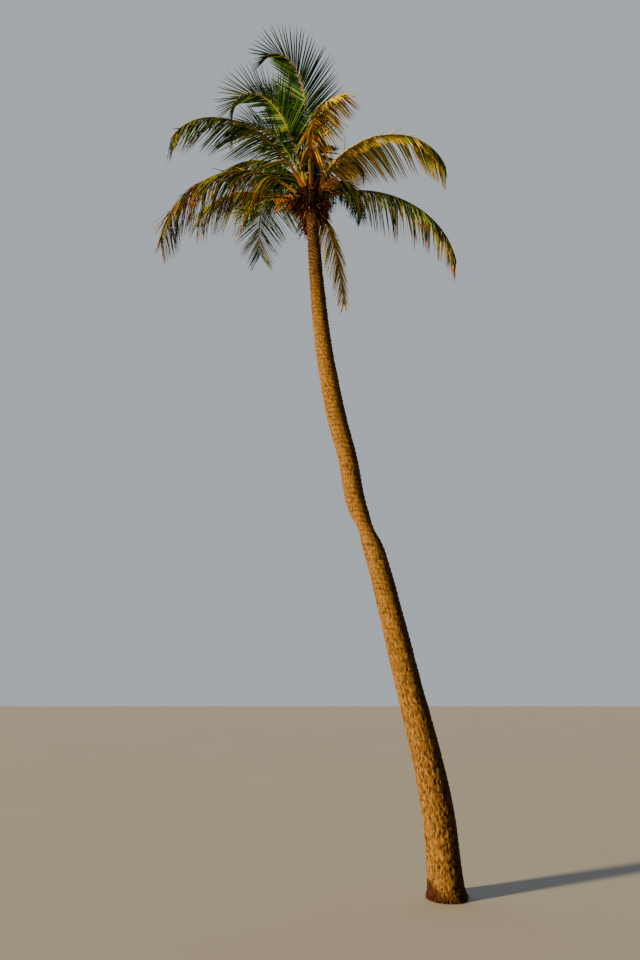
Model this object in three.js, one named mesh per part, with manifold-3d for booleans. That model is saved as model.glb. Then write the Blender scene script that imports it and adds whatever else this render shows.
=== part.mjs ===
// Coconut palm: one leaning, ringed trunk cut flat at the ground and a full crown of feather fronds.
// Units are millimetres, +Z is up, and the origin is the middle of the trunk's cut at ground level.
// +X is to the right and -Y toward the viewer in the view that the tree is described from.

import * as THREE from 'three';
import { mergeVertices } from 'three/addons/utils/BufferGeometryUtils.js';
import Module from 'manifold-3d';

const wasm = await Module();
wasm.setup();

// Trunk: height above the ground, lean to the side, diameter without the root flare
const TRUNK_KNOTS = [
  [0, 0, 276],
  [750, -44, 272],
  [1770, -242, 250],
  [3060, -511, 222],
  [3600, -686, 212],
  [4140, -768, 216],
  [4800, -905, 226],
  [5680, -1030, 206],
  [6460, -1100, 192],
  [8200, -1210, 135],
];
const TRUNK_HEIGHT = 8200;
const TRUNK_SIDES = 16;
const LEVEL_STEP = 260;
const FINE_STEP = 55;
const LEAN_AWAY = 1300;
const LEAN_AWAY_HEIGHT = 8500;
const LEAN_AWAY_POWER = 1.35;
const FLARE = 60;
const FLARE_HEIGHT = 130;
const FLARE_LEVELS = [60, 130, 220, 340];
const WAIST_HEIGHT = 3320;
const WAIST_DEPTH = 50;
const WAIST_SPAN = 130;
const WAIST_REACH = 260;

// Heart of the crown: the fibrous knob that carries the fronds, as height and radius above the trunk
const CLEARANCE = 0.3;
const HEART_PROFILE = [
  [0, 84],
  [90, 128],
  [220, 150],
  [340, 138],
  [450, 104],
  [540, 62],
];
const HEART_TOP = 590;
const HEART_SIDES = 18;
const HEART_MIDDLE = 220;
const SEAT_DEPTH = 22;

// Spear leaf: the folded young frond that stands in the middle of the crown
const SPEAR_LENGTH = 1150;
const SPEAR_RADIUS = 24;
const SPEAR_SIDES = 7;
const SPEAR_TILT = 5;
const SPEAR_SIDE = 110;
const SPEAR_SHOULDER = 0.45;
const SPEAR_FOOT_SHARE = 0.7;
const SPEAR_POINT = 3;

// Rib of a frond: half width and half height along it, from the heart to the tip
const PETIOLE_STATIONS = 5;
const RIB_WIDTH = [34, 20, 13, 5];
const RIB_HEIGHT = [19, 13, 9, 4];
const RIB_MARKS = [0, 0.12, 0.45, 1];
const WALK_STEPS = 60;

// Leaflets: the angle of the last pair to the rib, the way their length changes, how far they have
// turned to the direction in which they hang over their first half, how much stiffer the last ones
// are, the sizes that are tried and the space that they keep clear
const LEAFLET_CLOSED = 28;
const LEAFLET_ANGLE_POWER = 1.3;
const LEAFLET_FULL_AT = 0.25;
const LEAFLET_FIRST = 0.7;
const LEAFLET_LAST = 0.45;
const LEAFLET_SHRINK_POWER = 1.5;
const LEAFLET_THICKNESS = 9;
const LEAFLET_WIDTH = 46;
const LEAFLET_WIDTH_SHARE = 0.52;
const LEAFLET_MIDDLE = 0.5;
const TURNED_EARLY = 0.53;
const STIFFER_LATE = 0.85;
const LEAFLET_SIZES = [1, 0.72, 0.48];
const LEAFLET_SPACE = 1.5;
const RIB_SPACE = 46;

// Fronds seated above this height are the young ones
const YOUNG_SEAT = 200;

// Below these values two directions are parallel, and two corners are one
const PARALLEL = 1e-9;
const WELD = 1e-3;

// Every frond: the side it points to, how steeply it leaves the heart, its length, how far it arches
// over and how late, how far it swings sideways, how far its leaflets fold down, how limp they are,
// the height of its seat on the heart, the length of its longest leaflet, the angle of its first
// leaflets to the rib, the share of the rib that is bare, its pairs, and its split.
const DEG = Math.PI / 180;
const FRONDS = [
  entry('frond_01', 262, 71, 2100, 98, 4, -95, 10, 0.1, 270, 680, 54, 0.26, 20, 0.62),
  entry('frond_02', 226, 67, 2050, 125, 3.3, -98, 10, 0.2, 190, 620, 60, 0.26, 19, 0.62),
  entry('frond_03', 222, 60, 2550, 131, 1, -16, -45, 0.8, 80, 700, 50, 0.16, 21, 0.56),
  entry('frond_04', 187, 51, 2800, 130, 1.1, -40, -50, 2.4, 0, 900, 50, 0.18, 22, 0.52),
  entry('frond_05', 160, 27, 2100, 90, 3, -22, -45, 1.8, 70, 760, 50, 0.18, 19, 0.56),
  entry('frond_06', 137, 55, 2500, 106, 1.6, -55, -40, 0.4, -80, 840, 66, 0.16, 21, 0.54),
  entry('frond_07', 72, 42, 2250, 100, 0.9, 6, -30, 0.4, -60, 440, 55, 0.14, 20, 0.52),
  entry('frond_08', 2, 37, 2620, 121, 0.8, -9, -45, 2.4, 0, 660, 66, 0.13, 22, 0.54),
  entry('frond_09', 327, 78, 2500, 154, 0.85, 22, -38, 1.3, 90, 720, 62, 0.15, 21, 0.56),
  entry('frond_10', 267, 53, 1450, 67, 2.2, 83, -50, 1.6, 60, 660, 120, 0.3, 16, 0),
  entry('frond_11', 185, 78, 2000, 52, 4, -20, 0, 0.5, 330, 560, 58, 0.22, 18, 0.62),
  entry('frond_12', 205, 62, 1700, 150, 3, -30, -10, 0.6, 240, 520, 60, 0.22, 16, 0),
  entry('frond_13', 40, 66, 1600, 135, 1.8, 30, -30, 1.3, 110, 420, 60, 0.2, 15, 0),
  entry('frond_14', 128, 62, 2100, 105, 1.7, 10, -30, 0.9, 180, 600, 60, 0.2, 18, 0.6),
  entry('frond_15', 345, 82, 1050, 165, 1.2, 0, -30, 1.2, 210, 480, 60, 0.2, 11, 0),
  entry('frond_16', 95, 60, 2100, 80, 1.7, 0, -25, 0.8, 70, 560, 60, 0.2, 18, 0.6),
  entry('frond_17', 75, 82, 1600, 50, 2.2, 0, -20, 0.9, 300, 540, 60, 0.2, 15, 0.6),
  entry('frond_18', 168, 72, 1550, 102, 1.4, 3, -45, 1.2, 160, 660, 50, 0.16, 16, 0),
];

function entry(name, azimuth, rise, length, arch, late, swing, ...rest) {
  const [fold, limp, seat, leaflet, open, bare, pairs, split] = rest;
  const shape = { azimuth, rise, length, arch, late, swing };
  return { name, ...shape, fold, limp, seat, leaflet, open, bare, pairs, split };
}

// Bunches: dry flower stalks and small nuts round the heart, with their side, tilt, length and seat
const BUNCHES = [
  { name: 'bunch_left', azimuth: 168, tilt: 29, length: 400, seat: -45, droop: 36 },
  { name: 'bunch_left_low', azimuth: 198, tilt: 10, length: 250, seat: -80, droop: 50 },
  { name: 'bunch_right', azimuth: 332, tilt: 62, length: 360, seat: 30, droop: 70 },
  { name: 'bunch_right_low', azimuth: 348, tilt: -5, length: 130, seat: -70, droop: 50 },
  { name: 'bunch_back_left', azimuth: 105, tilt: -10, length: 280, seat: -110, droop: 55 },
  { name: 'bunch_back_right', azimuth: 50, tilt: -15, length: 220, seat: -70, droop: 55 },
];
const STALK_RADIUS = 13;
const STALK_TAPER = 0.8;
const STALK_SIDES = 4;
const STALK_STEPS = 2;
const STALK_SUNK = 12;
const BRANCHLETS = 6;
const BRANCHLET_FIRST = 0.4;
const BRANCHLET_LAST = 0.98;
const BRANCHLET_LENGTH = [150, 105];
const BRANCHLET_RADIUS = 7;
const BRANCHLET_TAPER = 0.4;
const BRANCHLET_SIDES = 3;
const BRANCHLET_SPREAD = 58;
const NUT_RADIUS = 21;
const NUT_EVERY = 2;
const GOLDEN_ANGLE = 137.5;

// Materials
const BARK = new THREE.MeshStandardMaterial({ color: 0x9a7145, roughness: 0.95, metalness: 0 });
const FIBRE = new THREE.MeshStandardMaterial({ color: 0x4a3220, roughness: 1, metalness: 0 });
const LEAF = new THREE.MeshStandardMaterial({ color: 0x76802a, roughness: 0.55, metalness: 0 });
const YOUNG_LEAF = new THREE.MeshStandardMaterial({ color: 0xa3a548, roughness: 0.5, metalness: 0 });
const STALK = new THREE.MeshStandardMaterial({ color: 0xb4702a, roughness: 0.85, metalness: 0 });

// A smooth curve through the knots of a table, read at a height for one of its columns
function knotValue(table, height, column) {
  let i = 0;
  while (i < table.length - 2 && height > table[i + 1][0]) {
    i += 1;
  }
  const slope = (k) => {
    const a = table[Math.max(k - 1, 0)];
    const b = table[Math.min(k + 1, table.length - 1)];
    return (b[column] - a[column]) / (b[0] - a[0]);
  };
  const span = table[i + 1][0] - table[i][0];
  const t = Math.min(Math.max((height - table[i][0]) / span, 0), 1);
  const rising = t * t * (3 - 2 * t);
  const value = table[i][column] + (table[i + 1][column] - table[i][column]) * rising;
  const bend = slope(i) * t * (1 - t) * (1 - t) - slope(i + 1) * t * t * (1 - t);
  return value + span * bend;
}

// The middle of the trunk, or of the heart above it, at a height
function trunkMiddle(height) {
  const side = knotValue(TRUNK_KNOTS, height, 1);
  const away = LEAN_AWAY * (Math.max(height, 0) / LEAN_AWAY_HEIGHT) ** LEAN_AWAY_POWER;
  return new THREE.Vector3(side, away, height);
}

// The trunk's radius with the flare at its foot and the narrow waist where it once nearly broke
function trunkRadius(height) {
  const plain = knotValue(TRUNK_KNOTS, height, 2);
  const flare = FLARE * Math.exp(-height / FLARE_HEIGHT);
  const waist = WAIST_DEPTH * Math.exp(-(((height - WAIST_HEIGHT) / WAIST_SPAN) ** 2));
  return (plain + flare - waist) / 2;
}

// A turned profile whose every level is moved to the middle of the leaning trunk
function leaningLathe(profile, sides) {
  const points = profile.map(([height, radius]) => new THREE.Vector2(radius, height));
  const geometry = new THREE.LatheGeometry(points, sides);
  geometry.rotateX(Math.PI / 2);
  const position = geometry.attributes.position;
  for (let i = 0; i < position.count; i += 1) {
    const middle = trunkMiddle(position.getZ(i));
    position.setX(i, position.getX(i) + middle.x);
    position.setY(i, position.getY(i) + middle.y);
  }
  return closed(geometry);
}

// The same geometry with only its positions, and with shared corners joined
function closed(geometry) {
  const bare = new THREE.BufferGeometry();
  bare.setAttribute('position', geometry.attributes.position);
  if (geometry.index) bare.setIndex(geometry.index);
  return mergeVertices(bare, WELD);
}

function makeTrunk() {
  const levels = [0, ...FLARE_LEVELS];
  let height = levels[levels.length - 1];
  while (height < TRUNK_HEIGHT - LEVEL_STEP) {
    const nearWaist = Math.abs(height + LEVEL_STEP / 2 - WAIST_HEIGHT) < WAIST_REACH;
    height += nearWaist ? FINE_STEP : LEVEL_STEP;
    levels.push(height);
  }
  levels.push(TRUNK_HEIGHT);
  const side = levels.map((level) => [level, trunkRadius(level)]);
  return leaningLathe([[0, 0], ...side, [TRUNK_HEIGHT, 0]], TRUNK_SIDES);
}

// The heart's profile above the trunk, grown outward by a margin
function heartProfile(margin) {
  const foot = TRUNK_HEIGHT + CLEARANCE;
  const side = HEART_PROFILE.map(([height, radius]) => [foot + height, radius + margin]);
  return [[foot, 0], ...side, [foot + HEART_TOP + margin, 0]];
}

function heartRadius(seat) {
  const height = Math.min(Math.max(HEART_MIDDLE + seat, 0), HEART_PROFILE[HEART_PROFILE.length - 1][0]);
  return knotValue(HEART_PROFILE, height, 1);
}

// A manifold solid of a closed geometry, and a geometry of a solid
function toSolid(geometry) {
  const welded = closed(geometry);
  const vertProperties = new Float32Array(welded.attributes.position.array);
  const triVerts = new Uint32Array(welded.index.array);
  return new wasm.Manifold(new wasm.Mesh({ numProp: 3, vertProperties, triVerts }));
}

function toGeometry(solid) {
  const mesh = solid.getMesh();
  const geometry = new THREE.BufferGeometry();
  geometry.setAttribute('position', new THREE.BufferAttribute(new Float32Array(mesh.vertProperties), 3));
  geometry.setIndex(Array.from(mesh.triVerts));
  return geometry;
}

function fuse(geometries) {
  return geometries.map(toSolid).reduce((whole, piece) => whole.add(piece));
}

// The heart with the clearance that every piece seated on it keeps
const heartSpace = toSolid(leaningLathe(heartProfile(CLEARANCE), HEART_SIDES));

function seatOnHeart(geometry) {
  return toGeometry(toSolid(geometry).subtract(heartSpace));
}

// The unit direction toward a side, at a tilt above level, both in degrees
function direction(azimuth, tilt) {
  const flat = Math.cos(tilt * DEG);
  const across = flat * Math.cos(azimuth * DEG);
  const back = flat * Math.sin(azimuth * DEG);
  return new THREE.Vector3(across, back, Math.sin(tilt * DEG));
}

// The direction of a rib at a share of its length
function ribDirection(frond, share) {
  const bend = share ** frond.late;
  return direction(frond.azimuth + frond.swing * bend, frond.rise - frond.arch * bend);
}

// The place where something leaves the heart, a little below its surface
function seatPoint(azimuth, seat) {
  const reach = heartRadius(seat) - SEAT_DEPTH;
  const point = trunkMiddle(TRUNK_HEIGHT + CLEARANCE + HEART_MIDDLE + seat);
  point.x += reach * Math.cos(azimuth * DEG);
  point.y += reach * Math.sin(azimuth * DEG);
  return point;
}

// The rib's axis at a share of its length: point, direction, side and upper normal
function ribFrame(frond, share) {
  const point = seatPoint(frond.azimuth, frond.seat);
  const step = share / WALK_STEPS;
  for (let i = 0; i < WALK_STEPS; i += 1) {
    point.addScaledVector(ribDirection(frond, (i + 0.5) * step), step * frond.length);
  }
  const along = ribDirection(frond, share);
  const azimuth = (frond.azimuth + frond.swing * share ** frond.late) * DEG;
  const side = new THREE.Vector3(Math.sin(azimuth), -Math.cos(azimuth), 0);
  side.addScaledVector(along, -side.dot(along)).normalize();
  const normal = new THREE.Vector3().crossVectors(side, along);
  return { point, along, side, normal };
}

// A value that runs in straight lines between the marks along the rib
function alongRib(values, share) {
  let i = 0;
  while (i < RIB_MARKS.length - 2 && share > RIB_MARKS[i + 1]) {
    i += 1;
  }
  const t = (share - RIB_MARKS[i]) / (RIB_MARKS[i + 1] - RIB_MARKS[i]);
  return values[i] + (values[i + 1] - values[i]) * t;
}

// The shares of the length where a rib has a ring: the bare stalk, then two rings to a pair
function ribStations(frond) {
  const shares = [];
  for (let i = 0; i < PETIOLE_STATIONS; i += 1) {
    shares.push((frond.bare * i) / PETIOLE_STATIONS);
  }
  const segments = 2 * frond.pairs;
  for (let i = 0; i <= segments; i += 1) {
    shares.push(frond.bare + ((1 - frond.bare) * i) / segments);
  }
  return shares;
}

// The four corners of the rib at a frame: right top, right bottom, left bottom, left top
function ribRing(frame, share, shift = 0) {
  const width = alongRib(RIB_WIDTH, share);
  const height = alongRib(RIB_HEIGHT, share);
  const corner = (across, up) => frame.point.clone()
    .addScaledVector(frame.along, shift)
    .addScaledVector(frame.side, across * width)
    .addScaledVector(frame.normal, up * height);
  return [corner(1, 1), corner(1, -1), corner(-1, -1), corner(-1, 1)];
}

function leafletLength(frond, place) {
  if (place < LEAFLET_FULL_AT) {
    return frond.leaflet * (LEAFLET_FIRST + (1 - LEAFLET_FIRST) * (place / LEAFLET_FULL_AT));
  }
  const late = (place - LEAFLET_FULL_AT) / (1 - LEAFLET_FULL_AT);
  return frond.leaflet * (1 - (1 - LEAFLET_LAST) * late ** LEAFLET_SHRINK_POWER);
}

// The first direction of a leaflet on one side of the rib, before its own weight bends it
function leafletDirection(frond, frame, place, side) {
  const open = (frond.open - (frond.open - LEAFLET_CLOSED) * place ** LEAFLET_ANGLE_POWER) * DEG;
  const fold = frond.fold * DEG;
  return frame.along.clone().multiplyScalar(Math.cos(open))
    .addScaledVector(frame.side, side * Math.sin(open) * Math.cos(fold))
    .addScaledVector(frame.normal, Math.sin(open) * Math.sin(fold));
}

// A leaflet: root corners on the rib, four corners at its middle, and its tip
function makeLeaflet(frond, near, far, place, side, size, swell) {
  const column = side > 0 ? [0, 1] : [3, 2];
  const root = [near[column[0]], near[column[1]], far[column[1]], far[column[0]]];
  const start = root.reduce((sum, corner) => sum.add(corner), new THREE.Vector3()).divideScalar(4);
  const length = leafletLength(frond, place) * size;
  const gap = near[column[0]].distanceTo(far[column[0]]);
  const share = frond.bare + (1 - frond.bare) * place;
  const frame = ribFrame(frond, share);
  const first = leafletDirection(frond, frame, place, side);
  const weight = new THREE.Vector3(0, 0, -frond.limp * (1 - STIFFER_LATE * place));
  const lower = first.clone().add(weight).normalize();
  const upper = first.clone().lerp(lower, TURNED_EARLY).normalize();
  const middle = start.clone().addScaledVector(upper, length * LEAFLET_MIDDLE);
  const tip = middle.clone().addScaledVector(lower, length * (1 - LEAFLET_MIDDLE));
  const across = frame.along.clone().addScaledVector(upper, -frame.along.dot(upper)).normalize();
  const crossing = first.clone().cross(frame.along).length();
  const width = Math.min(LEAFLET_WIDTH, 2 * gap * crossing * LEAFLET_WIDTH_SHARE) + swell;
  const normal = new THREE.Vector3().crossVectors(upper, across).multiplyScalar(side);
  const thickness = LEAFLET_THICKNESS + swell;
  const corner = (a, n) => middle.clone()
    .addScaledVector(across, (a * width) / 2)
    .addScaledVector(normal, (n * thickness) / 2);
  const waist = [corner(-1, 1), corner(-1, -1), corner(1, -1), corner(1, 1)];
  return { root, waist, tip, start, middle, side };
}

// The faces of a leaflet, from its root corners to its tip, turned outward on either side
function leafletFaces(leaflet) {
  const { root, waist, tip, side } = leaflet;
  const faces = [];
  for (let i = 0; i < 4; i += 1) {
    const j = (i + 1) % 4;
    faces.push([root[i], root[j], waist[j]], [root[i], waist[j], waist[i]], [waist[i], waist[j], tip]);
  }
  return side > 0 ? faces : faces.map(([a, b, c]) => [a, c, b]);
}

// A leaflet alone as a closed solid, for the test of its space
function leafletSolid(leaflet) {
  const { root, side } = leaflet;
  const lid = [[root[0], root[2], root[1]], [root[0], root[3], root[2]]];
  const turned = side > 0 ? lid : lid.map(([a, b, c]) => [a, c, b]);
  return toSolid(facesToGeometry([...leafletFaces(leaflet), ...turned]));
}

function facesToGeometry(faces) {
  const numbers = faces.flat().flatMap((corner) => [corner.x, corner.y, corner.z]);
  const geometry = new THREE.BufferGeometry();
  geometry.setAttribute('position', new THREE.BufferAttribute(new Float32Array(numbers), 3));
  return closed(geometry);
}

// The shortest distance between two straight pieces
function segmentDistance(a, b, c, d) {
  const u = b.clone().sub(a);
  const v = d.clone().sub(c);
  const w = a.clone().sub(c);
  const uu = u.dot(u);
  const uv = u.dot(v);
  const vv = v.dot(v);
  const uw = u.dot(w);
  const vw = v.dot(w);
  const clamp = THREE.MathUtils.clamp;
  const flat = uu * vv - uv * uv;
  let s = flat > PARALLEL ? clamp((uv * vw - vv * uw) / flat, 0, 1) : 0;
  const t = clamp((uv * s + vw) / vv, 0, 1);
  s = clamp((uv * t - uw) / uu, 0, 1);
  return w.addScaledVector(u, s).addScaledVector(v, -t).length();
}

// Everything that a new leaflet has to stay clear of
const ribPieces = [];
const grownLeaflets = [];

function leafletParts(leaflet) {
  return [[leaflet.start, leaflet.middle], [leaflet.middle, leaflet.tip]];
}

function meetsRib(frond, leaflet) {
  return ribPieces.some(({ owner, from, to }) => owner !== frond.name
    && leafletParts(leaflet).some(([a, b]) => segmentDistance(a, b, from, to) < RIB_SPACE));
}

function isNear(leaflet, other) {
  const reach = LEAFLET_WIDTH + LEAFLET_SPACE;
  return leafletParts(leaflet).some(([a, b]) => (
    leafletParts(other).some(([c, d]) => segmentDistance(a, b, c, d) < reach)));
}

function meetsLeaflet(leaflet, solid) {
  const near = grownLeaflets.filter((other) => isNear(leaflet, other.leaflet));
  return near.some((other) => !solid.intersect(other.solid).isEmpty());
}

// The longest leaflet that keeps to its own space, or nothing where even the shortest would touch
function growLeaflet(frond, near, far, place, side) {
  for (const size of LEAFLET_SIZES) {
    const wide = makeLeaflet(frond, near, far, place, side, size, LEAFLET_SPACE);
    if (!meetsRib(frond, wide) && !meetsLeaflet(wide, leafletSolid(wide))) {
      const leaflet = makeLeaflet(frond, near, far, place, side, size, 0);
      grownLeaflets.push({ leaflet, solid: leafletSolid(leaflet) });
      return leaflet;
    }
  }
  return null;
}

// The surface of a stretch of frond between two stations, with lids on its ends
function frondStretch(frond, stations, from, to) {
  const faces = [];
  const quad = (a, b, c, d) => faces.push([a, b, c], [a, c, d]);
  const first = from > 0 ? CLEARANCE : 0;
  let near = ribRing(ribFrame(frond, stations[from]), stations[from], first);
  quad(near[3], near[2], near[1], near[0]);
  for (let i = from; i < to; i += 1) {
    const far = ribRing(ribFrame(frond, stations[i + 1]), stations[i + 1]);
    quad(near[0], far[0], far[3], near[3]);
    quad(near[2], far[2], far[1], near[1]);
    const number = i - PETIOLE_STATIONS;
    const place = (number + 0.5) / (2 * frond.pairs);
    for (const side of [1, -1]) {
      const bears = number >= 0 && number % 2 === (side > 0 ? 0 : 1);
      const leaflet = bears ? growLeaflet(frond, near, far, place, side) : null;
      if (leaflet) faces.push(...leafletFaces(leaflet));
      else if (side > 0) quad(near[1], far[1], far[0], near[0]);
      else quad(near[3], far[3], far[2], near[2]);
    }
    near = far;
  }
  quad(near[0], near[1], near[2], near[3]);
  return facesToGeometry(faces);
}

function layRib(frond) {
  const stations = ribStations(frond);
  const points = stations.map((share) => ribFrame(frond, share).point);
  for (let i = 1; i < points.length; i += 1) {
    ribPieces.push({ owner: frond.name, from: points[i - 1], to: points[i] });
  }
}

// The meshes of one frond: whole, or an inner and an outer stretch on both sides of its bend
function makeFrond(frond) {
  const stations = ribStations(frond);
  const last = stations.length - 1;
  const material = frond.seat > YOUNG_SEAT ? YOUNG_LEAF : LEAF;
  if (!frond.split) {
    const whole = frondStretch(frond, stations, 0, last);
    return [named(seatOnHeart(whole), material, frond.name)];
  }
  const cut = stations.findIndex((share) => share >= frond.split);
  const inner = frondStretch(frond, stations, 0, cut);
  const outer = frondStretch(frond, stations, cut, last);
  return [
    named(seatOnHeart(inner), material, `${frond.name}_inner`),
    named(outer, material, `${frond.name}_outer`),
  ];
}

// A faceted rod between two points, tapering from one radius to another
function rod(from, to, startRadius, endRadius, sides) {
  const along = to.clone().sub(from);
  const geometry = new THREE.CylinderGeometry(endRadius, startRadius, along.length(), sides);
  const up = new THREE.Vector3(0, 1, 0);
  const turn = new THREE.Quaternion().setFromUnitVectors(up, along.clone().normalize());
  geometry.applyQuaternion(turn);
  const middle = from.clone().addScaledVector(along, 0.5);
  geometry.translate(middle.x, middle.y, middle.z);
  return geometry;
}

// The corner points of a bunch's drooping stalk, from its seat to its end
function stalkPoints(bunch) {
  const points = [seatPoint(bunch.azimuth, bunch.seat)];
  for (let i = 0; i < STALK_STEPS; i += 1) {
    const tilt = bunch.tilt - (bunch.droop * i) / (STALK_STEPS - 1);
    const step = direction(bunch.azimuth, tilt).multiplyScalar(bunch.length / STALK_STEPS);
    points.push(points[i].clone().add(step));
  }
  return points;
}

// The stalk's rods, each sunk a little way into the one before it
function stalkRods(points) {
  return points.slice(1).map((end, i) => {
    const back = points[i].clone().sub(end).normalize();
    const start = points[i].clone().addScaledVector(back, STALK_SUNK);
    const radius = STALK_RADIUS * STALK_TAPER ** i;
    return rod(start, end, radius, radius * STALK_TAPER, STALK_SIDES);
  });
}

// One branchlet of a bunch, with a small nut on every second one
function branchletPieces(bunch, points, number) {
  const part = number / (BRANCHLETS - 1);
  const share = BRANCHLET_FIRST + (BRANCHLET_LAST - BRANCHLET_FIRST) * part;
  const piece = Math.min(Math.floor(share * STALK_STEPS), STALK_STEPS - 1);
  const root = points[piece].clone().lerp(points[piece + 1], share * STALK_STEPS - piece);
  const around = GOLDEN_ANGLE * number * DEG;
  const azimuth = bunch.azimuth + BRANCHLET_SPREAD * Math.cos(around);
  const tilt = bunch.tilt - bunch.droop * share + BRANCHLET_SPREAD * Math.sin(around);
  const length = THREE.MathUtils.lerp(BRANCHLET_LENGTH[0], BRANCHLET_LENGTH[1], part);
  const end = root.clone().addScaledVector(direction(azimuth, tilt), length);
  const pieces = [rod(root, end, BRANCHLET_RADIUS, BRANCHLET_RADIUS * BRANCHLET_TAPER, BRANCHLET_SIDES)];
  if (number % NUT_EVERY === 0) {
    const nut = new THREE.OctahedronGeometry(NUT_RADIUS, 0);
    nut.translate(end.x, end.y, end.z);
    pieces.push(nut);
  }
  return pieces;
}

// A bunch: a drooping stalk with branchlets round it, trimmed at its seat on the heart
function makeBunch(bunch) {
  const points = stalkPoints(bunch);
  const pieces = stalkRods(points);
  for (let i = 0; i < BRANCHLETS; i += 1) {
    pieces.push(...branchletPieces(bunch, points, i));
  }
  return named(toGeometry(fuse(pieces).subtract(heartSpace)), STALK, bunch.name);
}

// The folded young leaf: a slim closed blade from the top of the heart
function makeSpear() {
  const foot = trunkMiddle(TRUNK_HEIGHT + HEART_TOP - SEAT_DEPTH);
  const lean = direction(SPEAR_SIDE, 90 - SPEAR_TILT);
  const shoulder = foot.clone().addScaledVector(lean, SPEAR_LENGTH * SPEAR_SHOULDER);
  const sunk = shoulder.clone().addScaledVector(lean, -1);
  const top = foot.clone().addScaledVector(lean, SPEAR_LENGTH);
  const lower = rod(foot, shoulder, SPEAR_RADIUS * SPEAR_FOOT_SHARE, SPEAR_RADIUS, SPEAR_SIDES);
  const upper = rod(sunk, top, SPEAR_RADIUS, SPEAR_POINT, SPEAR_SIDES);
  return named(toGeometry(fuse([lower, upper]).subtract(heartSpace)), YOUNG_LEAF, 'spear_leaf');
}

function named(geometry, material, name) {
  const mesh = new THREE.Mesh(geometry, material);
  mesh.name = name;
  return mesh;
}

function buildPalm() {
  const palm = new THREE.Group();
  palm.add(named(makeTrunk(), BARK, 'trunk'));
  palm.add(named(leaningLathe(heartProfile(0), HEART_SIDES), FIBRE, 'crown_heart'));
  palm.add(makeSpear());
  FRONDS.forEach(layRib);
  FRONDS.forEach((frond) => palm.add(...makeFrond(frond)));
  BUNCHES.forEach((bunch) => palm.add(makeBunch(bunch)));
  return palm;
}

export default buildPalm();
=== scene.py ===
"""Coconut palm: the looks of one leaning palm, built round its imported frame.

The stem, the heart, the fronds and the bunches follow the same rule as the solids that they replace,
and carry it on to finer leaflets, branchlets and bark. Lengths are metres, +Z is up, and the origin is
the middle of the stem's cut at the ground.
"""

import math
from collections import namedtuple

import bmesh
import bpy
import numpy as np
from bpy.props import FloatProperty, FloatVectorProperty, IntProperty, PointerProperty
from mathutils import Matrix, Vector


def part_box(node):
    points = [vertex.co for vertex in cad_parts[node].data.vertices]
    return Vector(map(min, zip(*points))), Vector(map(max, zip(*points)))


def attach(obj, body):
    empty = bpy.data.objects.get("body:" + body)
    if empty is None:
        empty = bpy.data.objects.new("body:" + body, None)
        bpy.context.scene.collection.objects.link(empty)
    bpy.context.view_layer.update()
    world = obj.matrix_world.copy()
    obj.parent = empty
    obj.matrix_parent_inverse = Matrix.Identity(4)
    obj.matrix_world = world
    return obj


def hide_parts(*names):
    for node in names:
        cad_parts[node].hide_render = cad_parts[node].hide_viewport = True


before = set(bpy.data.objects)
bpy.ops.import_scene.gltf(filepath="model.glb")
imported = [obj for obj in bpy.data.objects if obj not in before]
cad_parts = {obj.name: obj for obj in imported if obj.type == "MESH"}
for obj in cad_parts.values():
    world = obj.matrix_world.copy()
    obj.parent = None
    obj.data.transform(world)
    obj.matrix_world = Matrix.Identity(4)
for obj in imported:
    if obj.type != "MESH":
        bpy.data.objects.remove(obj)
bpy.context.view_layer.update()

bl_info = {
    "name": "Coconut palm",
    "version": (1, 0, 0),
    "blender": (4, 5, 0),
    "location": "3D Viewport > Sidebar > Palm",
    "description": "Builds the looks of a leaning coconut palm round its packed frame",
    "category": "Object",
}

SEEDS = {"roots": 41, "heart": 17, "leaflets": 5, "spear": 29, "bunches": 53}

# Stem: height above the ground, lean to the side, and diameter without the root flare
TRUNK_KNOTS = (
    (0.00, 0.000, 0.276),
    (0.75, -0.044, 0.272),
    (1.77, -0.242, 0.250),
    (3.06, -0.511, 0.222),
    (3.60, -0.686, 0.212),
    (4.14, -0.768, 0.216),
    (4.80, -0.905, 0.226),
    (5.68, -1.030, 0.206),
    (6.46, -1.100, 0.192),
    (8.20, -1.210, 0.135),
)
TRUNK_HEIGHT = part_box("trunk")[1].z
LEAN_AWAY = 1.30
LEAN_AWAY_HEIGHT = 8.50
LEAN_AWAY_POWER = 1.35
FLARE = 0.060
FLARE_HEIGHT = 0.130
WAIST_HEIGHT = 3.32
WAIST_DEPTH = 0.050
WAIST_SPAN = 0.130

# How the slant of the ring scars, their strength and that of the fissures change with the height
RING_SLANTS = ((0, 6.6, 7.6, 8.2), (0.008, 0.02, 0.10, 0.14))
RING_STRENGTHS = ((0, 1.2, 2.6, 6.5, 8.2), (0.1, 0.3, 0.7, 1.0, 1.9))
CRACK_STRENGTHS = ((0, 0.9, 1.8, 3.0, 4.5), (1.0, 0.9, 0.55, 0.2, 0.1))

# Short roots at the foot: how high they start, how far they reach out and their radius
ROOTS = 70
ROOT_TOP = (0.03, 0.13)
ROOT_REACH = (0.004, 0.022)
ROOT_RADIUS = (0.004, 0.008)
ROOT_SUNK = 0.012

# Heart of the crown: height above the stem and radius, the height that seats are measured from, how fine
# and how slim its form is here, and how deep the limbs are seated in it
HEART_PROFILE = (
    (0.00, 0.084),
    (0.09, 0.128),
    (0.22, 0.150),
    (0.34, 0.138),
    (0.45, 0.104),
    (0.54, 0.062),
)
HEART_TOP = 0.59
HEART_MIDDLE = 0.22
HEART_SIDES = 72
HEART_LEVELS = 70
HEART_SHARE = 0.93
SEAT_DEPTH = 0.022

# Stumps of fallen fronds round the heart
BASES = 16
BASE_SEAT = -0.19
BASE_STEP = 0.020
BASE_TILT = (40, 70)
BASE_LENGTH = (0.10, 0.2)
BASE_WIDTH = 0.055
BASE_HEIGHT = 0.020

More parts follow.
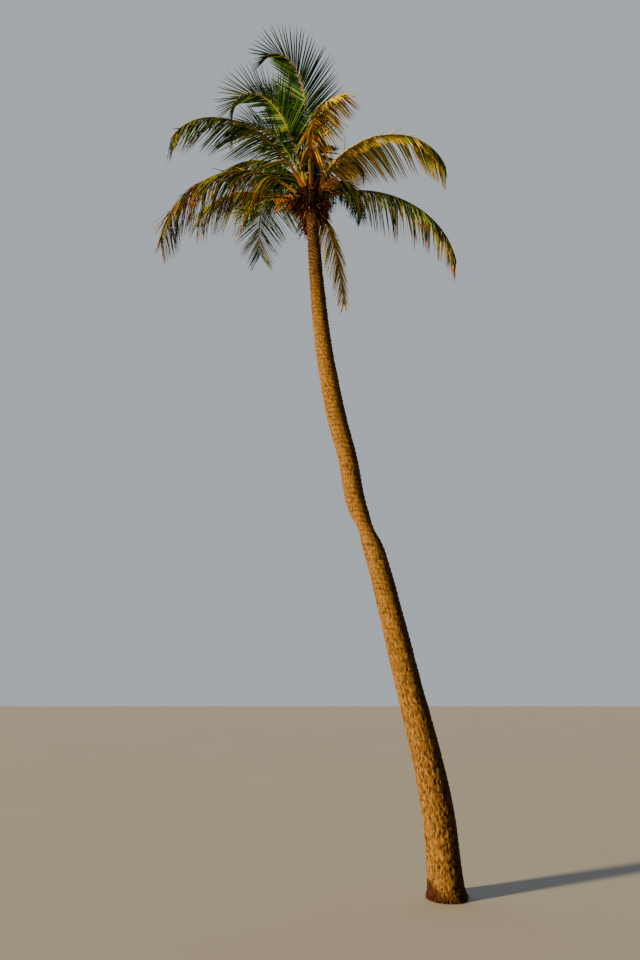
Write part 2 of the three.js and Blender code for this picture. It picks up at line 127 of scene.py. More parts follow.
# Rib of a frond of the usual length: half width and half height at four marks along it, the steps in which
# its curve is added up, and how much and how far along it is wider where it clasps the heart
RIB_MARKS = (0.0, 0.12, 0.45, 1.0)
RIB_WIDTH = (0.034, 0.020, 0.014, 0.007)
RIB_HEIGHT = (0.028, 0.021, 0.010, 0.004)
USUAL_LENGTH = 2.3
WALK_STEPS = 600
CLASP_WIDTH = 0.020
CLASP_SHARE = 0.035

# Leaflets: how far they stray from even places, their angle to the rib at the last, and the way their
# length, their width and their limpness change along it
LEAFLET_JITTER = 0.25
LEAFLET_CLOSED = 28
LEAFLET_ANGLE_POWER = 1.3
LEAFLET_FULL_AT = 0.25
LEAFLET_FIRST = 0.70
LEAFLET_LAST = 0.45
LEAFLET_SHRINK_POWER = 1.5
LEAFLET_NARROWS = 0.45
LEAFLET_WIDTHS = (0.85, 1.15)
STIFFER_LATE = 0.85
BEND_EARLY = 3

# Clumps of leaflets: their length along the rib, their turn in degrees and the spread of their limpness
CLUMP_LENGTH = 0.11
CLUMP_TURN = 6
CLUMP_LIMP = 0.25

# Where along a rib the outer tints take over, the spread and the limits of the dry tips' shares of their
# leaflets, and the share of russet ones among them
OUTER_PLACES = (0.55, 0.9)
DRY_SPREAD = (0.4, 1.5)
DRY_LIMITS = (0.06, 0.6)
RUSSET_SHARE = 0.45

# Stray leaflets that stand up or stick out: the share of a frond's leaflets, their lift in degrees, their
# length and how much of the limpness is left. Broken ones keep a part of their length
STRAY_SHARE = 0.012
STRAY_LIFT = (70, 130)
STRAY_LENGTH = (0.15, 0.4)
STRAY_LIMP = 0.3
BROKEN_LENGTH = (0.35, 0.8)

# Where along the far side of a rib more of them stand up, for a frond that has such a fringe
FRINGE_PLACES = (0.3, 0.42, 0.6, 0.75)

UP = np.array((0.0, 0.0, 1.0))
GOLDEN_ANGLE = 137.5

# A frond: its side, rise and length, its arch and how late along the rib that comes, its swing aside, its
# leaflets' fold and limpness, its seat, its leaflets' length and first angle to the rib, the share of the
# rib that is bare, and its look
Frond = namedtuple("Frond", "name azimuth rise length arch late swing fold limp seat leaflet open bare look")
FRONDS = (
    Frond("frond_01", 262, 71, 2.1, 98, 4, -95, 10, 0.1, 0.27, 0.68, 54, 0.26, "fresh"),
    Frond("frond_02", 226, 67, 2.05, 125, 3.3, -98, 10, 0.2, 0.19, 0.62, 60, 0.26, "bent"),
    Frond("frond_03", 222, 60, 2.55, 131, 1, -16, -45, 0.8, 0.08, 0.7, 50, 0.16, "olive"),
    Frond("frond_04", 187, 51, 2.8, 130, 1.1, -40, -50, 2.4, 0, 0.9, 50, 0.18, "worn"),
    Frond("frond_05", 160, 27, 2.1, 90, 3, -22, -45, 1.8, 0.07, 0.76, 50, 0.18, "olive"),
    Frond("frond_06", 137, 55, 2.5, 106, 1.6, -55, -18, 0.3, -0.08, 0.8, 80, 0.16, "spread"),
    Frond("frond_07", 72, 42, 2.25, 100, 0.9, 6, -55, 1.0, -0.06, 0.54, 60, 0.14, "shaded_painted_lit"),
    Frond("frond_08", 2, 37, 2.62, 121, 0.8, -9, -45, 2.4, 0, 0.66, 66, 0.13, "old"),
    Frond("frond_09", 327, 78, 2.5, 154, 0.85, 22, -38, 1.3, 0.09, 0.72, 62, 0.15, "golden"),
    Frond("frond_10", 267, 53, 1.45, 67, 2.2, 83, -50, 1.6, 0.06, 0.66, 120, 0.3, "fan"),
    Frond("frond_11", 185, 78, 2, 52, 4, -20, 0, 0.5, 0.33, 0.56, 58, 0.22, "inner"),
    Frond("frond_12", 205, 62, 1.7, 150, 3, -30, -10, 0.6, 0.24, 0.52, 60, 0.22, "thicket"),
    Frond("frond_13", 40, 66, 1.6, 135, 1.8, 30, -30, 1.3, 0.11, 0.42, 60, 0.1, "inner"),
    Frond("frond_14", 128, 62, 2.1, 105, 1.7, 10, -30, 0.9, 0.18, 0.6, 60, 0.2, "inner"),
    Frond("frond_15", 345, 82, 1.05, 165, 1.2, 0, -30, 1.2, 0.21, 0.36, 60, 0.1, "mixed"),
    Frond("frond_16", 95, 60, 2.1, 80, 1.7, 0, -25, 0.8, 0.07, 0.56, 60, 0.06, "thicket"),
    Frond("frond_17", 75, 82, 1.6, 50, 2.2, 0, -20, 0.9, 0.3, 0.54, 60, 0.06, "inner"),
    Frond("frond_18", 168, 72, 1.55, 102, 1.4, 3, -45, 1.2, 0.16, 0.66, 50, 0.08, "thicket"),
)

# Colours of the leaflets, and the light and dark of the ribs. The near-black green shade tint stands in for
# the shade deep among the leaflets: painted shade
LEAF_TINTS = {
    "shade": "0a1e08",
    "deep": "1c4412",
    "green": "386216",
    "moss": "648020",
    "olive": "a0a61c",
    "gold": "dcb012",
    "dry": "8c5212",
    "orange": "a8581c",
    "russet": "742e18",
}
RIB_TINTS = {
    "green": ("8a8a18", "5c6a10"),
    "yellow": ("cc9c08", "8e7408"),
    "orange": ("f09612", "c06a0c"),
    "brown": ("8a6414", "4c3810"),
}

# Shares of the leaf tints in a frond, or in its inner or outer part. The darkest shares and the thicket's
# lean on the shade tint for fronds and parts deep in the crown: painted shade
PAINTED_SHADE_DARKS = {"shade": 3.5, "deep": 6, "green": 2, "moss": 1}
GREENS = {"deep": 5, "green": 5, "moss": 4}
LIT_GREENS = {"deep": 2.5, "green": 3.5, "moss": 5, "olive": 3.5}
OLIVES = {"shade": 2, "deep": 4, "green": 2, "moss": 4, "olive": 5, "gold": 1}
WORN = {"shade": 5, "deep": 4, "green": 2, "moss": 3, "olive": 3, "gold": 1.5, "dry": 4.5}
GOLDS = {"green": 0.5, "moss": 2.5, "olive": 8, "gold": 9}
THICKET = {"shade": 3, "deep": 5, "green": 4, "moss": 4, "olive": 3}
FADED = {"shade": 2, "green": 2, "olive": 3, "gold": 5, "dry": 3}
FAN_EDGE = {"olive": 5, "gold": 7, "dry": 3.5}

# How a frond looks: its rib's tint, how sparse, wide and ragged its leaflets are, the share of dry tips and
# their length, its tints, and the share of its far leaflets that stand up along its arch
Look = namedtuple(
    "Look", "rib sparse wide ragged dry_tips dry_length tints outer_tints fringe", defaults=[0])
LOOKS = {
    # Fronds deep in the crown take the darkest tints: painted shade
    "inner": Look("green", 0.7, 0.8, 1.2, 0.1, 0.12, PAINTED_SHADE_DARKS, PAINTED_SHADE_DARKS),
    "fresh": Look("yellow", 1.7, 1.0, 0.2, 0.2, 0.1, PAINTED_SHADE_DARKS, GREENS),
    "mixed": Look("green", 0.8, 0.5, 1.0, 0.1, 0.12, GREENS, OLIVES),
    "thicket": Look("green", 0.6, 0.5, 1.1, 0.3, 0.2, THICKET, THICKET),
    "bent": Look("yellow", 1.5, 0.95, 0.3, 0.2, 0.1, GREENS, LIT_GREENS),
    "olive": Look("orange", 0.95, 0.5, 1.0, 0.4, 0.2, OLIVES, OLIVES),
    "old": Look("brown", 0.75, 0.44, 1.1, 0.6, 0.22, OLIVES, WORN),
    "worn": Look("brown", 0.62, 0.44, 1.3, 0.6, 0.25, WORN, WORN),
    "spread": Look("yellow", 1.35, 0.85, 0.7, 0.6, 0.2, LIT_GREENS, OLIVES),
    "golden": Look("orange", 0.6, 0.52, 0.35, 0.2, 0.15, GOLDS, WORN, 0.4),
    # A frond that lies in the shade of other fronds takes golden tints: painted light
    "shaded_painted_lit": Look("orange", 1.25, 0.9, 0.7, 0.4, 0.15, GOLDS, GOLDS),
    "fan": Look("orange", 0.6, 0.6, 0.9, 0.2, 0.2, FADED, FAN_EDGE),
}

# A dry flower bunch: its side, tilt, length, seat height and droop, how many branchlets it has and how
# thick they are, and its age
Bunch = namedtuple("Bunch", "name azimuth tilt length seat droop branchlets thick age")
BUNCHES = (
    Bunch("bunch_left", 168, 29, 0.40, -0.045, 36, 26, 1.6, "dry"),
    Bunch("bunch_left_low", 198, 10, 0.25, -0.08, 50, 16, 1.2, "old"),
    Bunch("bunch_right", 332, 62, 0.36, 0.03, 70, 40, 0.7, "dry"),
    Bunch("bunch_right_low", 348, -5, 0.13, -0.07, 50, 24, 1.6, "old"),
    Bunch("bunch_back_left", 105, -10, 0.28, -0.11, 55, 30, 1.6, "old"),
    Bunch("bunch_back_right", 50, -15, 0.22, -0.07, 55, 30, 1.6, "old"),
)
BUNCH_TINTS = {"dry": ("ffc030", "b8701c"), "old": ("603410", "200f06")}
BUNCH_NUTS = {"dry": 0.9, "old": 1.6}
STALK_RADIUS = 0.013
STALK_STEPS = 11
KINK = 0.006
BRANCHLET_LENGTH = 0.15
BRANCHLET_SPREAD = 58
BRANCHLET_STEPS = 6
BRANCHLET_FIRST = 0.25

# A clump of dried sheath and fibre: its side and how wide it spreads, its seat, tilt, size and count. Its
# strips start inside the heart and come in three widths, and a share of them are painted bright orange as
# sunlit pieces: painted highlights
Husk = namedtuple("Husk", "azimuth spread seat tilt length width count")
HUSKS = (
    Husk(200, 26, -0.06, -20, 0.27, 0.060, 90),
    Husk(225, 30, -0.18, -50, 0.26, 0.045, 60),
    Husk(345, 30, -0.10, 0, 0.11, 0.050, 50),
    Husk(345, 25, -0.24, -35, 0.10, 0.045, 40),
    Husk(240, 60, 0.06, 45, 0.14, 0.040, 90),
    Husk(270, 180, 0.05, 20, 0.14, 0.020, 260),
    Husk(90, 90, -0.12, -10, 0.30, 0.055, 130),
    Husk(60, 80, 0.20, 80, 0.60, 0.050, 110),
)
HUSK_REACH = 0.92
HUSK_WIDTHS = (0.15, 0.5, 1.0)
HUSK_WIDTH_SHARES = (0.35, 0.35, 0.3)
# Share of the husk strips painted bright orange as if sunlit: painted highlights
LIT_HUSKS = 0.3

# Spear leaf: the folded young frond in the middle of the crown
SPEAR_LENGTH = 1.15
SPEAR_RADIUS = 0.024
SPEAR_TILT = 5
SPEAR_SIDE = 110
SPEAR_LEAFLETS = 46
SPEAR_LEAFLET_WIDTH = 0.022
SPEAR_LEAFLET_LENGTH = 0.5
SPEAR_LEAFLET_PLACES = (0.02, 0.72)

# Stage: where the key light and the lit backdrop are, half the floor's side, and the sensor in millimetres
KEY_SIDE = 204
KEY_RISE = 11
BACKDROP_SIDE = 90
BACKDROP_RISE = 20
FLOOR_HALF = 60.0
SENSOR_WIDTH = 36


# The rule of the plant

def knot_value(table, heights, column):
    """A smooth curve through the knots of a table, read at many heights for one column."""
    knots = np.array(table, float)
    place, value = knots[:, 0], knots[:, column]
    order = np.arange(len(knots))
    before, after = np.maximum(order - 1, 0), np.minimum(order + 1, len(knots) - 1)
    slope = (value[after] - value[before]) / (place[after] - place[before])
    heights = np.asarray(heights, float)
    i = np.searchsorted(place[1:-1], heights)
    span = place[i + 1] - place[i]
    t = np.clip((heights - place[i]) / span, 0, 1)
    rising = t * t * (3 - 2 * t)
    bend = slope[i] * t * (1 - t) ** 2 - slope[i + 1] * t * t * (1 - t)
    return value[i] + (value[i + 1] - value[i]) * rising + span * bend


def trunk_middle(heights):
    """The middle of the stem, or of the heart above it, at many heights."""
    heights = np.asarray(heights, float)
    away = LEAN_AWAY * (np.maximum(heights, 0) / LEAN_AWAY_HEIGHT) ** LEAN_AWAY_POWER
    return np.stack([knot_value(TRUNK_KNOTS, heights, 1), away, heights], axis=-1)


def trunk_radius(heights):
    """The stem's radius, with the flare at its foot and its narrow waist."""
    flare = FLARE * np.exp(-heights / FLARE_HEIGHT)
    waist = WAIST_DEPTH * np.exp(-((heights - WAIST_HEIGHT) / WAIST_SPAN) ** 2)
    return (knot_value(TRUNK_KNOTS, heights, 2) + flare - waist) / 2


def heart_radius(seat):
    """The heart's radius at a seat height."""
    return knot_value(HEART_PROFILE, np.clip(HEART_MIDDLE + seat, 0, HEART_PROFILE[-1][0]), 1)


def direction(azimuth, tilt):
    """Unit directions toward a side and above the level, both in degrees."""
    azimuth, tilt = np.broadcast_arrays(np.radians(azimuth), np.radians(tilt))
    flat = np.cos(tilt)
    return np.stack([flat * np.cos(azimuth), flat * np.sin(azimuth), np.sin(tilt)], axis=-1)


def unit(vectors):
    """The same vectors at length one."""
    return vectors / np.maximum(np.linalg.norm(vectors, axis=-1, keepdims=True), 1e-9)


def seat_point(azimuth, seat):
    """The place where a limb leaves the heart, a little below its surface."""
    reach = heart_radius(seat) - SEAT_DEPTH
    return trunk_middle(TRUNK_HEIGHT + HEART_MIDDLE + seat) + reach * direction(azimuth, 0)


def steps_from(start, steps):
    """The points that are reached from a start by one step after another."""
    return start + np.vstack([np.zeros(3), np.cumsum(steps, axis=0)])


def read_path(shares, marks, path):
    """Points of a path at shares of its length."""
    return np.stack([np.interp(shares, marks, path[:, k]) for k in range(3)], axis=-1)


def rib_direction(frond, shares):
    """The direction of a rib at shares of its length."""
    bend = shares ** frond.late
    return direction(frond.azimuth + frond.swing * bend, frond.rise - frond.arch * bend)


def rib_frames(frond, shares):
    """Points, directions, sides and upper normals along a rib."""
    marks = np.linspace(0, 1, WALK_STEPS + 1)
    steps = rib_direction(frond, (marks[1:] + marks[:-1]) / 2) * frond.length / WALK_STEPS
    points = read_path(shares, marks, steps_from(seat_point(frond.azimuth, frond.seat), steps))
    along = rib_direction(frond, shares)
    azimuth = np.radians(frond.azimuth + frond.swing * shares ** frond.late)
    side = np.stack([np.sin(azimuth), -np.cos(azimuth), np.zeros_like(azimuth)], axis=-1)
    side = unit(side - along * np.sum(side * along, axis=-1, keepdims=True))
    return points, along, side, np.cross(side, along)


def leaflet_length(frond, place):
    """The length of a frond's leaflets at places from the first to the last."""
    early = LEAFLET_FIRST + (1 - LEAFLET_FIRST) * place / LEAFLET_FULL_AT
    late = np.maximum(place - LEAFLET_FULL_AT, 0) / (1 - LEAFLET_FULL_AT)
    shrunk = 1 - (1 - LEAFLET_LAST) * late ** LEAFLET_SHRINK_POWER
    return frond.leaflet * np.where(place < LEAFLET_FULL_AT, early, shrunk)


def colour(hex_text):
    """A linear colour from a hexadecimal one."""
    values = [int(hex_text[i:i + 2], 16) / 255 for i in (0, 2, 4)]
    linear = [v / 12.92 if v <= 0.04045 else ((v + 0.055) / 1.055) ** 2.4 for v in values]
    return (*linear, 1.0)


# Meshes and node trees

class Wire:
    """One output of a node. Sums with it add the math nodes that work them out."""

    def __init__(self, nodes, socket):
        self.nodes = nodes
        self.socket = socket

    def math(self, operation, *others):
        """A math node on this value and others, or a vector math node on a vector."""
        kind = "ShaderNodeVectorMath" if self.socket.type == "VECTOR" else "ShaderNodeMath"
        return self.nodes.add(kind, dict(enumerate((self, *others))), operation=operation)

    def __add__(self, other):
        return self.math("ADD", other)

    def __sub__(self, other):
        return self.math("SUBTRACT", other)

    def __rsub__(self, number):
        return self.nodes.add("ShaderNodeMath", {0: number, 1: self}, operation="SUBTRACT")

    def __mul__(self, other):
        if self.socket.type == "VECTOR" and not isinstance(other, tuple):
            return self.nodes.add("ShaderNodeVectorMath", {0: self, "Scale": other}, operation="SCALE")
        return self.math("MULTIPLY", other)

    def __pow__(self, other):
        return self.math("POWER", other)

    def parts(self):
        """The three parts of a vector."""
        node = self.nodes.node("ShaderNodeSeparateXYZ", {0: self})
        return [Wire(self.nodes, socket) for socket in node.outputs]


class Nodes:
    """A node tree in the making."""

    def __init__(self, tree):
        self.tree = tree

    def fill(self, node, inputs):
        """Links outputs to a node's inputs, or sets the inputs to plain values."""
        for place, value in inputs.items():
            value = getattr(value, "socket", value)
            if isinstance(value, bpy.types.NodeSocket):
                self.tree.links.new(value, node.inputs[place])
            else:
                node.inputs[place].default_value = value

    def node(self, kind, inputs=None, **settings):
        """Adds a node with its settings and inputs."""
        node = self.tree.nodes.new(kind)
        for name, value in settings.items():
            setattr(node, name, value)
        self.fill(node, inputs or {})
        return node

    def add(self, kind, inputs=None, output=0, **settings):
        """Adds a node and gives one of its outputs."""
        return Wire(self, self.node(kind, inputs, **settings).outputs[output])

    def ramp(self, value, low, high, start=0.0, stop=1.0):
        """A value carried smoothly from one range to another."""
        inputs = {"Value": value, "From Min": low, "From Max": high, "To Min": start, "To Max": stop}
        return self.add("ShaderNodeMapRange", inputs, interpolation_type="SMOOTHSTEP")

    def noise(self, vector, scale, detail=2.0, seed=0.0):
        """Cloudy noise between nought and one."""
        inputs = {"Vector": vector, "W": seed, "Scale": scale, "Detail": detail}
        return self.add("ShaderNodeTexNoise", inputs, noise_dimensions="4D")

    def crack(self, vector, scale, width, seed):
        """One along thin winding lines, and nought between them."""
        distance = (self.noise(vector, scale, seed=seed) - 0.5).math("ABSOLUTE")
        return self.ramp(distance, 0.0, width, 1.0, 0.0)

    def blend(self, factor, first, second):
        """A colour between two colours, which are the mix node's inputs 6 and 7 and its output 2."""
        return self.add("ShaderNodeMix", {0: factor, 6: first, 7: second}, 2, data_type="RGBA")

    def bump(self, height, strength, distance):
        """A normal that follows a fine relief."""
        inputs = {"Height": height, "Strength": strength, "Distance": distance}
        return self.add("ShaderNodeBump", inputs, "Normal")

    def surface(self, name, output="Fac"):
        """A named attribute as a material reads it."""
        return self.add("ShaderNodeAttribute", output=output, attribute_name=name)

    def number(self, name, kind="FLOAT"):
        """A named number of the geometry."""
        return self.add("GeometryNodeInputNamedAttribute", {"Name": name}, "Attribute", data_type=kind)

    def vector(self, name):
        """A named vector of the geometry."""
        return self.number(name, "FLOAT_VECTOR")

    def stored(self, geometry, name, value, kind="FLOAT_VECTOR", domain="POINT"):
        """The geometry with a value stored under a name."""
        inputs = {"Geometry": geometry, "Name": name, "Value": value}
        return self.add("GeometryNodeStoreNamedAttribute", inputs, data_type=kind, domain=domain)

    def moved(self, geometry, **places):
        """The geometry with its points moved, by an offset or to a position."""
        return self.add("GeometryNodeSetPosition", {"Geometry": geometry, **places})

    def finish(self, geometry, material):
        """Ends a geometry tree with its instances made real and its material set."""
        real = self.add("GeometryNodeRealizeInstances", {"Geometry": geometry})
        done = self.add("GeometryNodeSetMaterial", {"Geometry": real, "Material": material})
        self.node("NodeGroupOutput", {0: done})
        return self.tree


def geometry_tree(name, **sizes):
    """A new geometry tree that takes a geometry, named sizes and a material: its nodes and its inputs."""
    tree = bpy.data.node_groups.new(name, "GeometryNodeTree")
    tree.is_modifier = True
    add_socket = tree.interface.new_socket
    add_socket("Geometry", in_out="INPUT", socket_type="NodeSocketGeometry")
    for label, value in sizes.items():
        kind = "NodeSocketInt" if isinstance(value, int) else "NodeSocketFloat"
        add_socket(label, in_out="INPUT", socket_type=kind).default_value = value
    add_socket("Material", in_out="INPUT", socket_type="NodeSocketMaterial")
    add_socket("Geometry", in_out="OUTPUT", socket_type="NodeSocketGeometry")
    nodes = Nodes(tree)
    return nodes, {socket.name: Wire(nodes, socket) for socket in nodes.node("NodeGroupInput").outputs}


def attribute_mesh(name, points, edges=(), faces=(), **attributes):
    """A mesh with named point attributes: numbers or vectors."""
    mesh = bpy.data.meshes.new(name)
    mesh.from_pydata(np.asarray(points).tolist(), list(edges), list(faces))
    for label, values in attributes.items():
        values = np.asarray(values, np.float32)
        kind, field = ("FLOAT_VECTOR", "vector") if values.ndim == 2 else ("FLOAT", "value")
        mesh.attributes.new(label, kind, "POINT").data.foreach_set(field, values.ravel())
    return mesh


STRIP_FIELDS = ("root", "first", "hung", "across", "length", "width", "roll", "twist", "start", "stop")
LINE_FIELDS = ("centre", "side", "upper", "half_width", "half_height", "channel")
SPENT_FIELDS = (*STRIP_FIELDS, *LINE_FIELDS, "place", "profile")
RING_FIELDS = ("ring", "ring_fade", "crack_fade")


def grow(name, mesh, tree, material, **values):
    """An object with the plain mesh that a geometry tree makes from a starting mesh."""
    piece = bpy.data.objects.new(name, mesh)
    bpy.context.scene.collection.objects.link(piece)
    modifier = piece.modifiers.new("Grow", "NODES")
    modifier.node_group = tree
    values["Material"] = material
    for item in tree.interface.items_tree:
        if item.in_out == "INPUT" and item.name in values:
            modifier[item.identifier] = values[item.name]
    graph = bpy.context.evaluated_depsgraph_get()
    grown = bpy.data.meshes.new_from_object(piece.evaluated_get(graph), depsgraph=graph)
    piece.modifiers.clear()
    for field in SPENT_FIELDS:
        if field in grown.attributes:
            grown.attributes.remove(grown.attributes[field])
    piece.data = grown
    return piece


def finish_piece(piece, slot, *nodes):
    """Shades the piece smoothly, names its mesh, gives it its body and hides the nodes it replaces; the slot
    is not used.
    """
    piece.data.shade_smooth()
    piece.data.name = piece.name
    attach(piece, "root")
    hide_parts(*nodes)


def frond_nodes(prefix):
    """The nodes of one frond, or of all of them."""
    return [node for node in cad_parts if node.startswith(prefix)]


# Geometry trees

def bark_marks(nodes, stem, ring, ring_fade, crack_fade):
    """How strong the lips and grooves of the ring scars, the fissures, the pits and the knobs are."""
    wobble = nodes.noise(stem, 7.0, 3.0, seed=3.0) - 0.5
    phase = (ring + wobble * 1.3).math("FRACT")
    edge = nodes.ramp(phase, 0.0, 0.34, 1.0, 0.0).math("MAXIMUM", nodes.ramp(phase, 0.86, 1.0))
    strength = ring_fade * nodes.ramp(nodes.noise(stem, 9.0, seed=11.0), 0.36, 0.58, 0.15, 1.0)
    squat = stem * (1.0, 1.0, 0.6)
    spots = nodes.add("ShaderNodeTexVoronoi", {"Vector": squat, "Scale": 26.0}, "Distance")
    pitted = nodes.ramp(nodes.noise(stem, 5.0, seed=23.0), 0.52, 0.6)
    lip = nodes.ramp(phase, 0.25, 0.85) * strength
    crack = nodes.crack(stem * (1.0, 1.0, 0.22), 44.0, 0.05, seed=3.0) * crack_fade
    pit = nodes.ramp(spots, 0.12, 0.3, 1.0, 0.0) * pitted
    knob = nodes.noise(squat, 30.0, 3.0, seed=41.0) * crack_fade
    return lip, edge * strength, crack, pit, knob


def relief_tree():
    """Ring scars, fissures, pits and lumps on an upright form, from its stem and ring attributes."""
    nodes, entry = geometry_tree(
        "Bark relief", ring_depth=0.004, fissure_depth=0.004, pit_depth=0.007,
        knob_height=0.016, lump_height=0.012, root_swell=0.008)
    stem = nodes.vector("stem")
    lip, groove, crack, pit, knob = bark_marks(nodes, stem, *map(nodes.number, RING_FIELDS))
    lump = nodes.noise(stem, 3.6, 3.0, seed=3.0) - 0.5
    foot = nodes.ramp(stem.parts()[2], 0.0, 0.16, 1.0, 0.0)
    roots = foot * nodes.ramp(nodes.noise(stem, 13.0, 1.0, seed=31.0), 0.42, 0.66, -0.2, 1.0)
    depth = (lip - groove) * entry["ring_depth"] - crack * entry["fissure_depth"] - pit * entry["pit_depth"]
    depth = depth + lump * entry["lump_height"] + knob * entry["knob_height"] + roots * entry["root_swell"]
    outward = (stem * (1.0, 1.0, 0.0)).math("NORMALIZE")
    return nodes.finish(nodes.moved(entry["Geometry"], Offset=outward * depth), entry["Material"])


def sweep_tree():
    """Rods, ribs and stalks: a profile carried along lines, placed by their side and upper attributes."""
    nodes, entry = geometry_tree("Sweep", sides=8)
    rail = nodes.add("GeometryNodeMeshToCurve", {"Mesh": entry["Geometry"]})
    ring = nodes.add("GeometryNodeCurvePrimitiveCircle", {"Resolution": entry["sides"], "Radius": 1.0})
    ring = nodes.stored(ring, "profile", nodes.add("GeometryNodeInputPosition"))
    inputs = {"Curve": rail, "Profile Curve": ring, "Fill Caps": True}
    swept = nodes.add("GeometryNodeCurveToMesh", inputs)
    across, up, _ = nodes.vector("profile").parts()
    dip = nodes.number("channel") * (1.0 - across.math("ABSOLUTE"))
    up = up - up.math("MAXIMUM", 0.0) * dip
    sideways = nodes.vector("side") * (across * nodes.number("half_width"))
    upward = nodes.vector("upper") * (up * nodes.number("half_height"))
    place = nodes.vector("centre") + (sideways + upward)
    return nodes.finish(nodes.moved(swept, Position=place), entry["Material"])


def blade_tree():
    """Leaflets and fibres: one strip for each point, bent, twisted and folded by the point's attributes."""
    nodes, entry = geometry_tree("Blades", segments=8, fold=0.6, base_width=0.6)
    grid = nodes.node("GeometryNodeMeshGrid", {
        "Size X": 1.0, "Size Y": 2.0, "Vertices X": entry["segments"], "Vertices Y": 3})
    strip = nodes.stored(grid.outputs["Mesh"], "UVMap", grid.outputs["UV Map"], "FLOAT2", "CORNER")
    strip = nodes.stored(strip, "place", nodes.add("GeometryNodeInputPosition"))
    planted = nodes.add("GeometryNodeInstanceOnPoints", {"Points": entry["Geometry"], "Instance": strip})
    real = nodes.add("GeometryNodeRealizeInstances", {"Geometry": planted})
    along, aside, _ = nodes.vector("place").parts()
    start, stop = nodes.number("start"), nodes.number("stop")
    share = start + (along + 0.5) * (stop - start)

    # A strip turns from its first direction to the one it hangs in, early along its length
    power = BEND_EARLY + 1
    left = 1.0 - share
    bent = 1.0 - left ** BEND_EARLY
    hung_way = share - 1 / power + (left ** power).math("DIVIDE", power)
    first, hung = nodes.vector("first"), nodes.vector("hung")
    reach = first * (share - hung_way) + hung * hung_way
    centre = nodes.vector("root") + reach * nodes.number("length")
    inputs = {0: bent, 4: first, 5: hung}
    heading = nodes.add("ShaderNodeMix", inputs, 1, data_type="VECTOR").math("NORMALIZE")

    # Its width lies across, turned about its heading, and its sides fold down from the middle
    across = nodes.vector("across")
    across = (across - across.math("PROJECT", heading)).math("NORMALIZE")
    turn = nodes.number("roll") + nodes.number("twist") * share
    inputs = {"Vector": across, "Axis": heading, "Angle": turn}
    across = nodes.add("ShaderNodeVectorRotate", inputs, rotation_type="AXIS_ANGLE")
    normal = heading.math("CROSS_PRODUCT", across)
    swell = nodes.ramp(share, 0.0, 0.15, entry["base_width"], 1.0)
    half = swell * (1.0 - share ** 3.2) * nodes.number("width") * 0.5
    half = half.math("MAXIMUM", 0.0012)
    out = across * (aside * (half * entry["fold"].math("COSINE")))
    down = normal * (aside.math("ABSOLUTE") * (half * entry["fold"].math("SINE")))
    return nodes.finish(nodes.moved(real, Position=centre + out - down), entry["Material"])


def nut_tree():
    """Small nuts: one stretched ball for each point, turned and sized by the point's attributes."""
    nodes, entry = geometry_tree("Nuts", rings=6, segments=8, stretch=1.25)
    inputs = {"Segments": entry["segments"], "Rings": entry["rings"], "Radius": 1.0}
    ball = nodes.add("GeometryNodeMeshUVSphere", inputs)
    shape = nodes.add("ShaderNodeCombineXYZ", {"X": 1.0, "Y": 1.0, "Z": entry["stretch"]})
    nuts = nodes.add("GeometryNodeInstanceOnPoints", {
        "Points": entry["Geometry"], "Instance": ball,
        "Rotation": nodes.vector("turn"), "Scale": shape * nodes.number("size")})
    return nodes.finish(nuts, entry["Material"])


# Materials

def new_material(name):
    """A material with its shader: the material, its nodes and the shader node."""
    material = bpy.data.materials.new(name)
    material.use_nodes = True
    return material, Nodes(material.node_tree), material.node_tree.nodes["Principled BSDF"]


def bark_material(settings):
    """Golden-brown bark: grain, patches, dark grooves, fissures and pits with painted shade in them, browner
    at the crown and the foot, and painted shade on the side away from the key light.
    """
    material, nodes, shader = new_material("palm_bark")
    stem = nodes.surface("stem", "Vector")
    lip, groove, crack, pit, _ = bark_marks(nodes, stem, *map(nodes.surface, RING_FIELDS))
    aside, _, height = stem.parts()
    light, dark = (*settings.light_colour, 1.0), (*settings.dark_and_shade_colour, 1.0)
    tall = stem * (1.0, 1.0, 0.35)
    grain = nodes.noise(tall, 62.0, 6.0)
    patches = nodes.noise(stem, 4.5, 4.0)
    speckle = nodes.noise(stem, 210.0, 3.0)
    base = nodes.blend(nodes.ramp(grain, 0.36, 0.62), colour("64441c"), light)
    base = nodes.blend(nodes.ramp(patches, 0.38, 0.68, 0.0, 0.35), base, colour("84642a"))
    base = nodes.blend(nodes.ramp(speckle, 0.55, 0.68, 0.0, 0.65), base, colour("38210c"))

    # Browner toward the crown, red-brown at the foot, and painted shade on the side away from the key light
    crown = nodes.ramp(height, 5.6, 7.7, 0.0, 0.95) * (1.0 - lip * 0.4)
    base = nodes.blend(crown, base, nodes.blend(nodes.ramp(grain, 0.4, 0.6), dark, colour("4c2e12")))
    foot = nodes.ramp(height + patches * 0.3 + aside * 0.6, 0.14, 0.27, 0.92, 0.0)
    base = nodes.blend(foot, base, colour("340c04"))
    # Painted shade: the side of the stem away from the key light takes the dark bark colour
    painted_shade_side = nodes.ramp(aside + nodes.noise(tall, 16.0, 4.0) * 0.12, 0.085, 0.15, 0.0, 0.7)
    base = nodes.blend(painted_shade_side, base, dark)
    # The grooves, fissures and pits take the dark colour: their own darker bark, with painted shade in the
    # recesses
    recess_dark_and_shade = (groove * 0.9).math("MAXIMUM", crack).math("MAXIMUM", pit).math("MINIMUM", 0.92)
    nodes.fill(shader, {
        "Base Color": nodes.blend(recess_dark_and_shade, base, dark),
        "Roughness": nodes.ramp(grain, 0.3, 0.7, 0.98, 0.8),
        "Specular IOR Level": 0.2,
        "Normal": nodes.bump(grain * 0.7 + speckle * 0.3, 0.8, 0.010),
    })
    return material


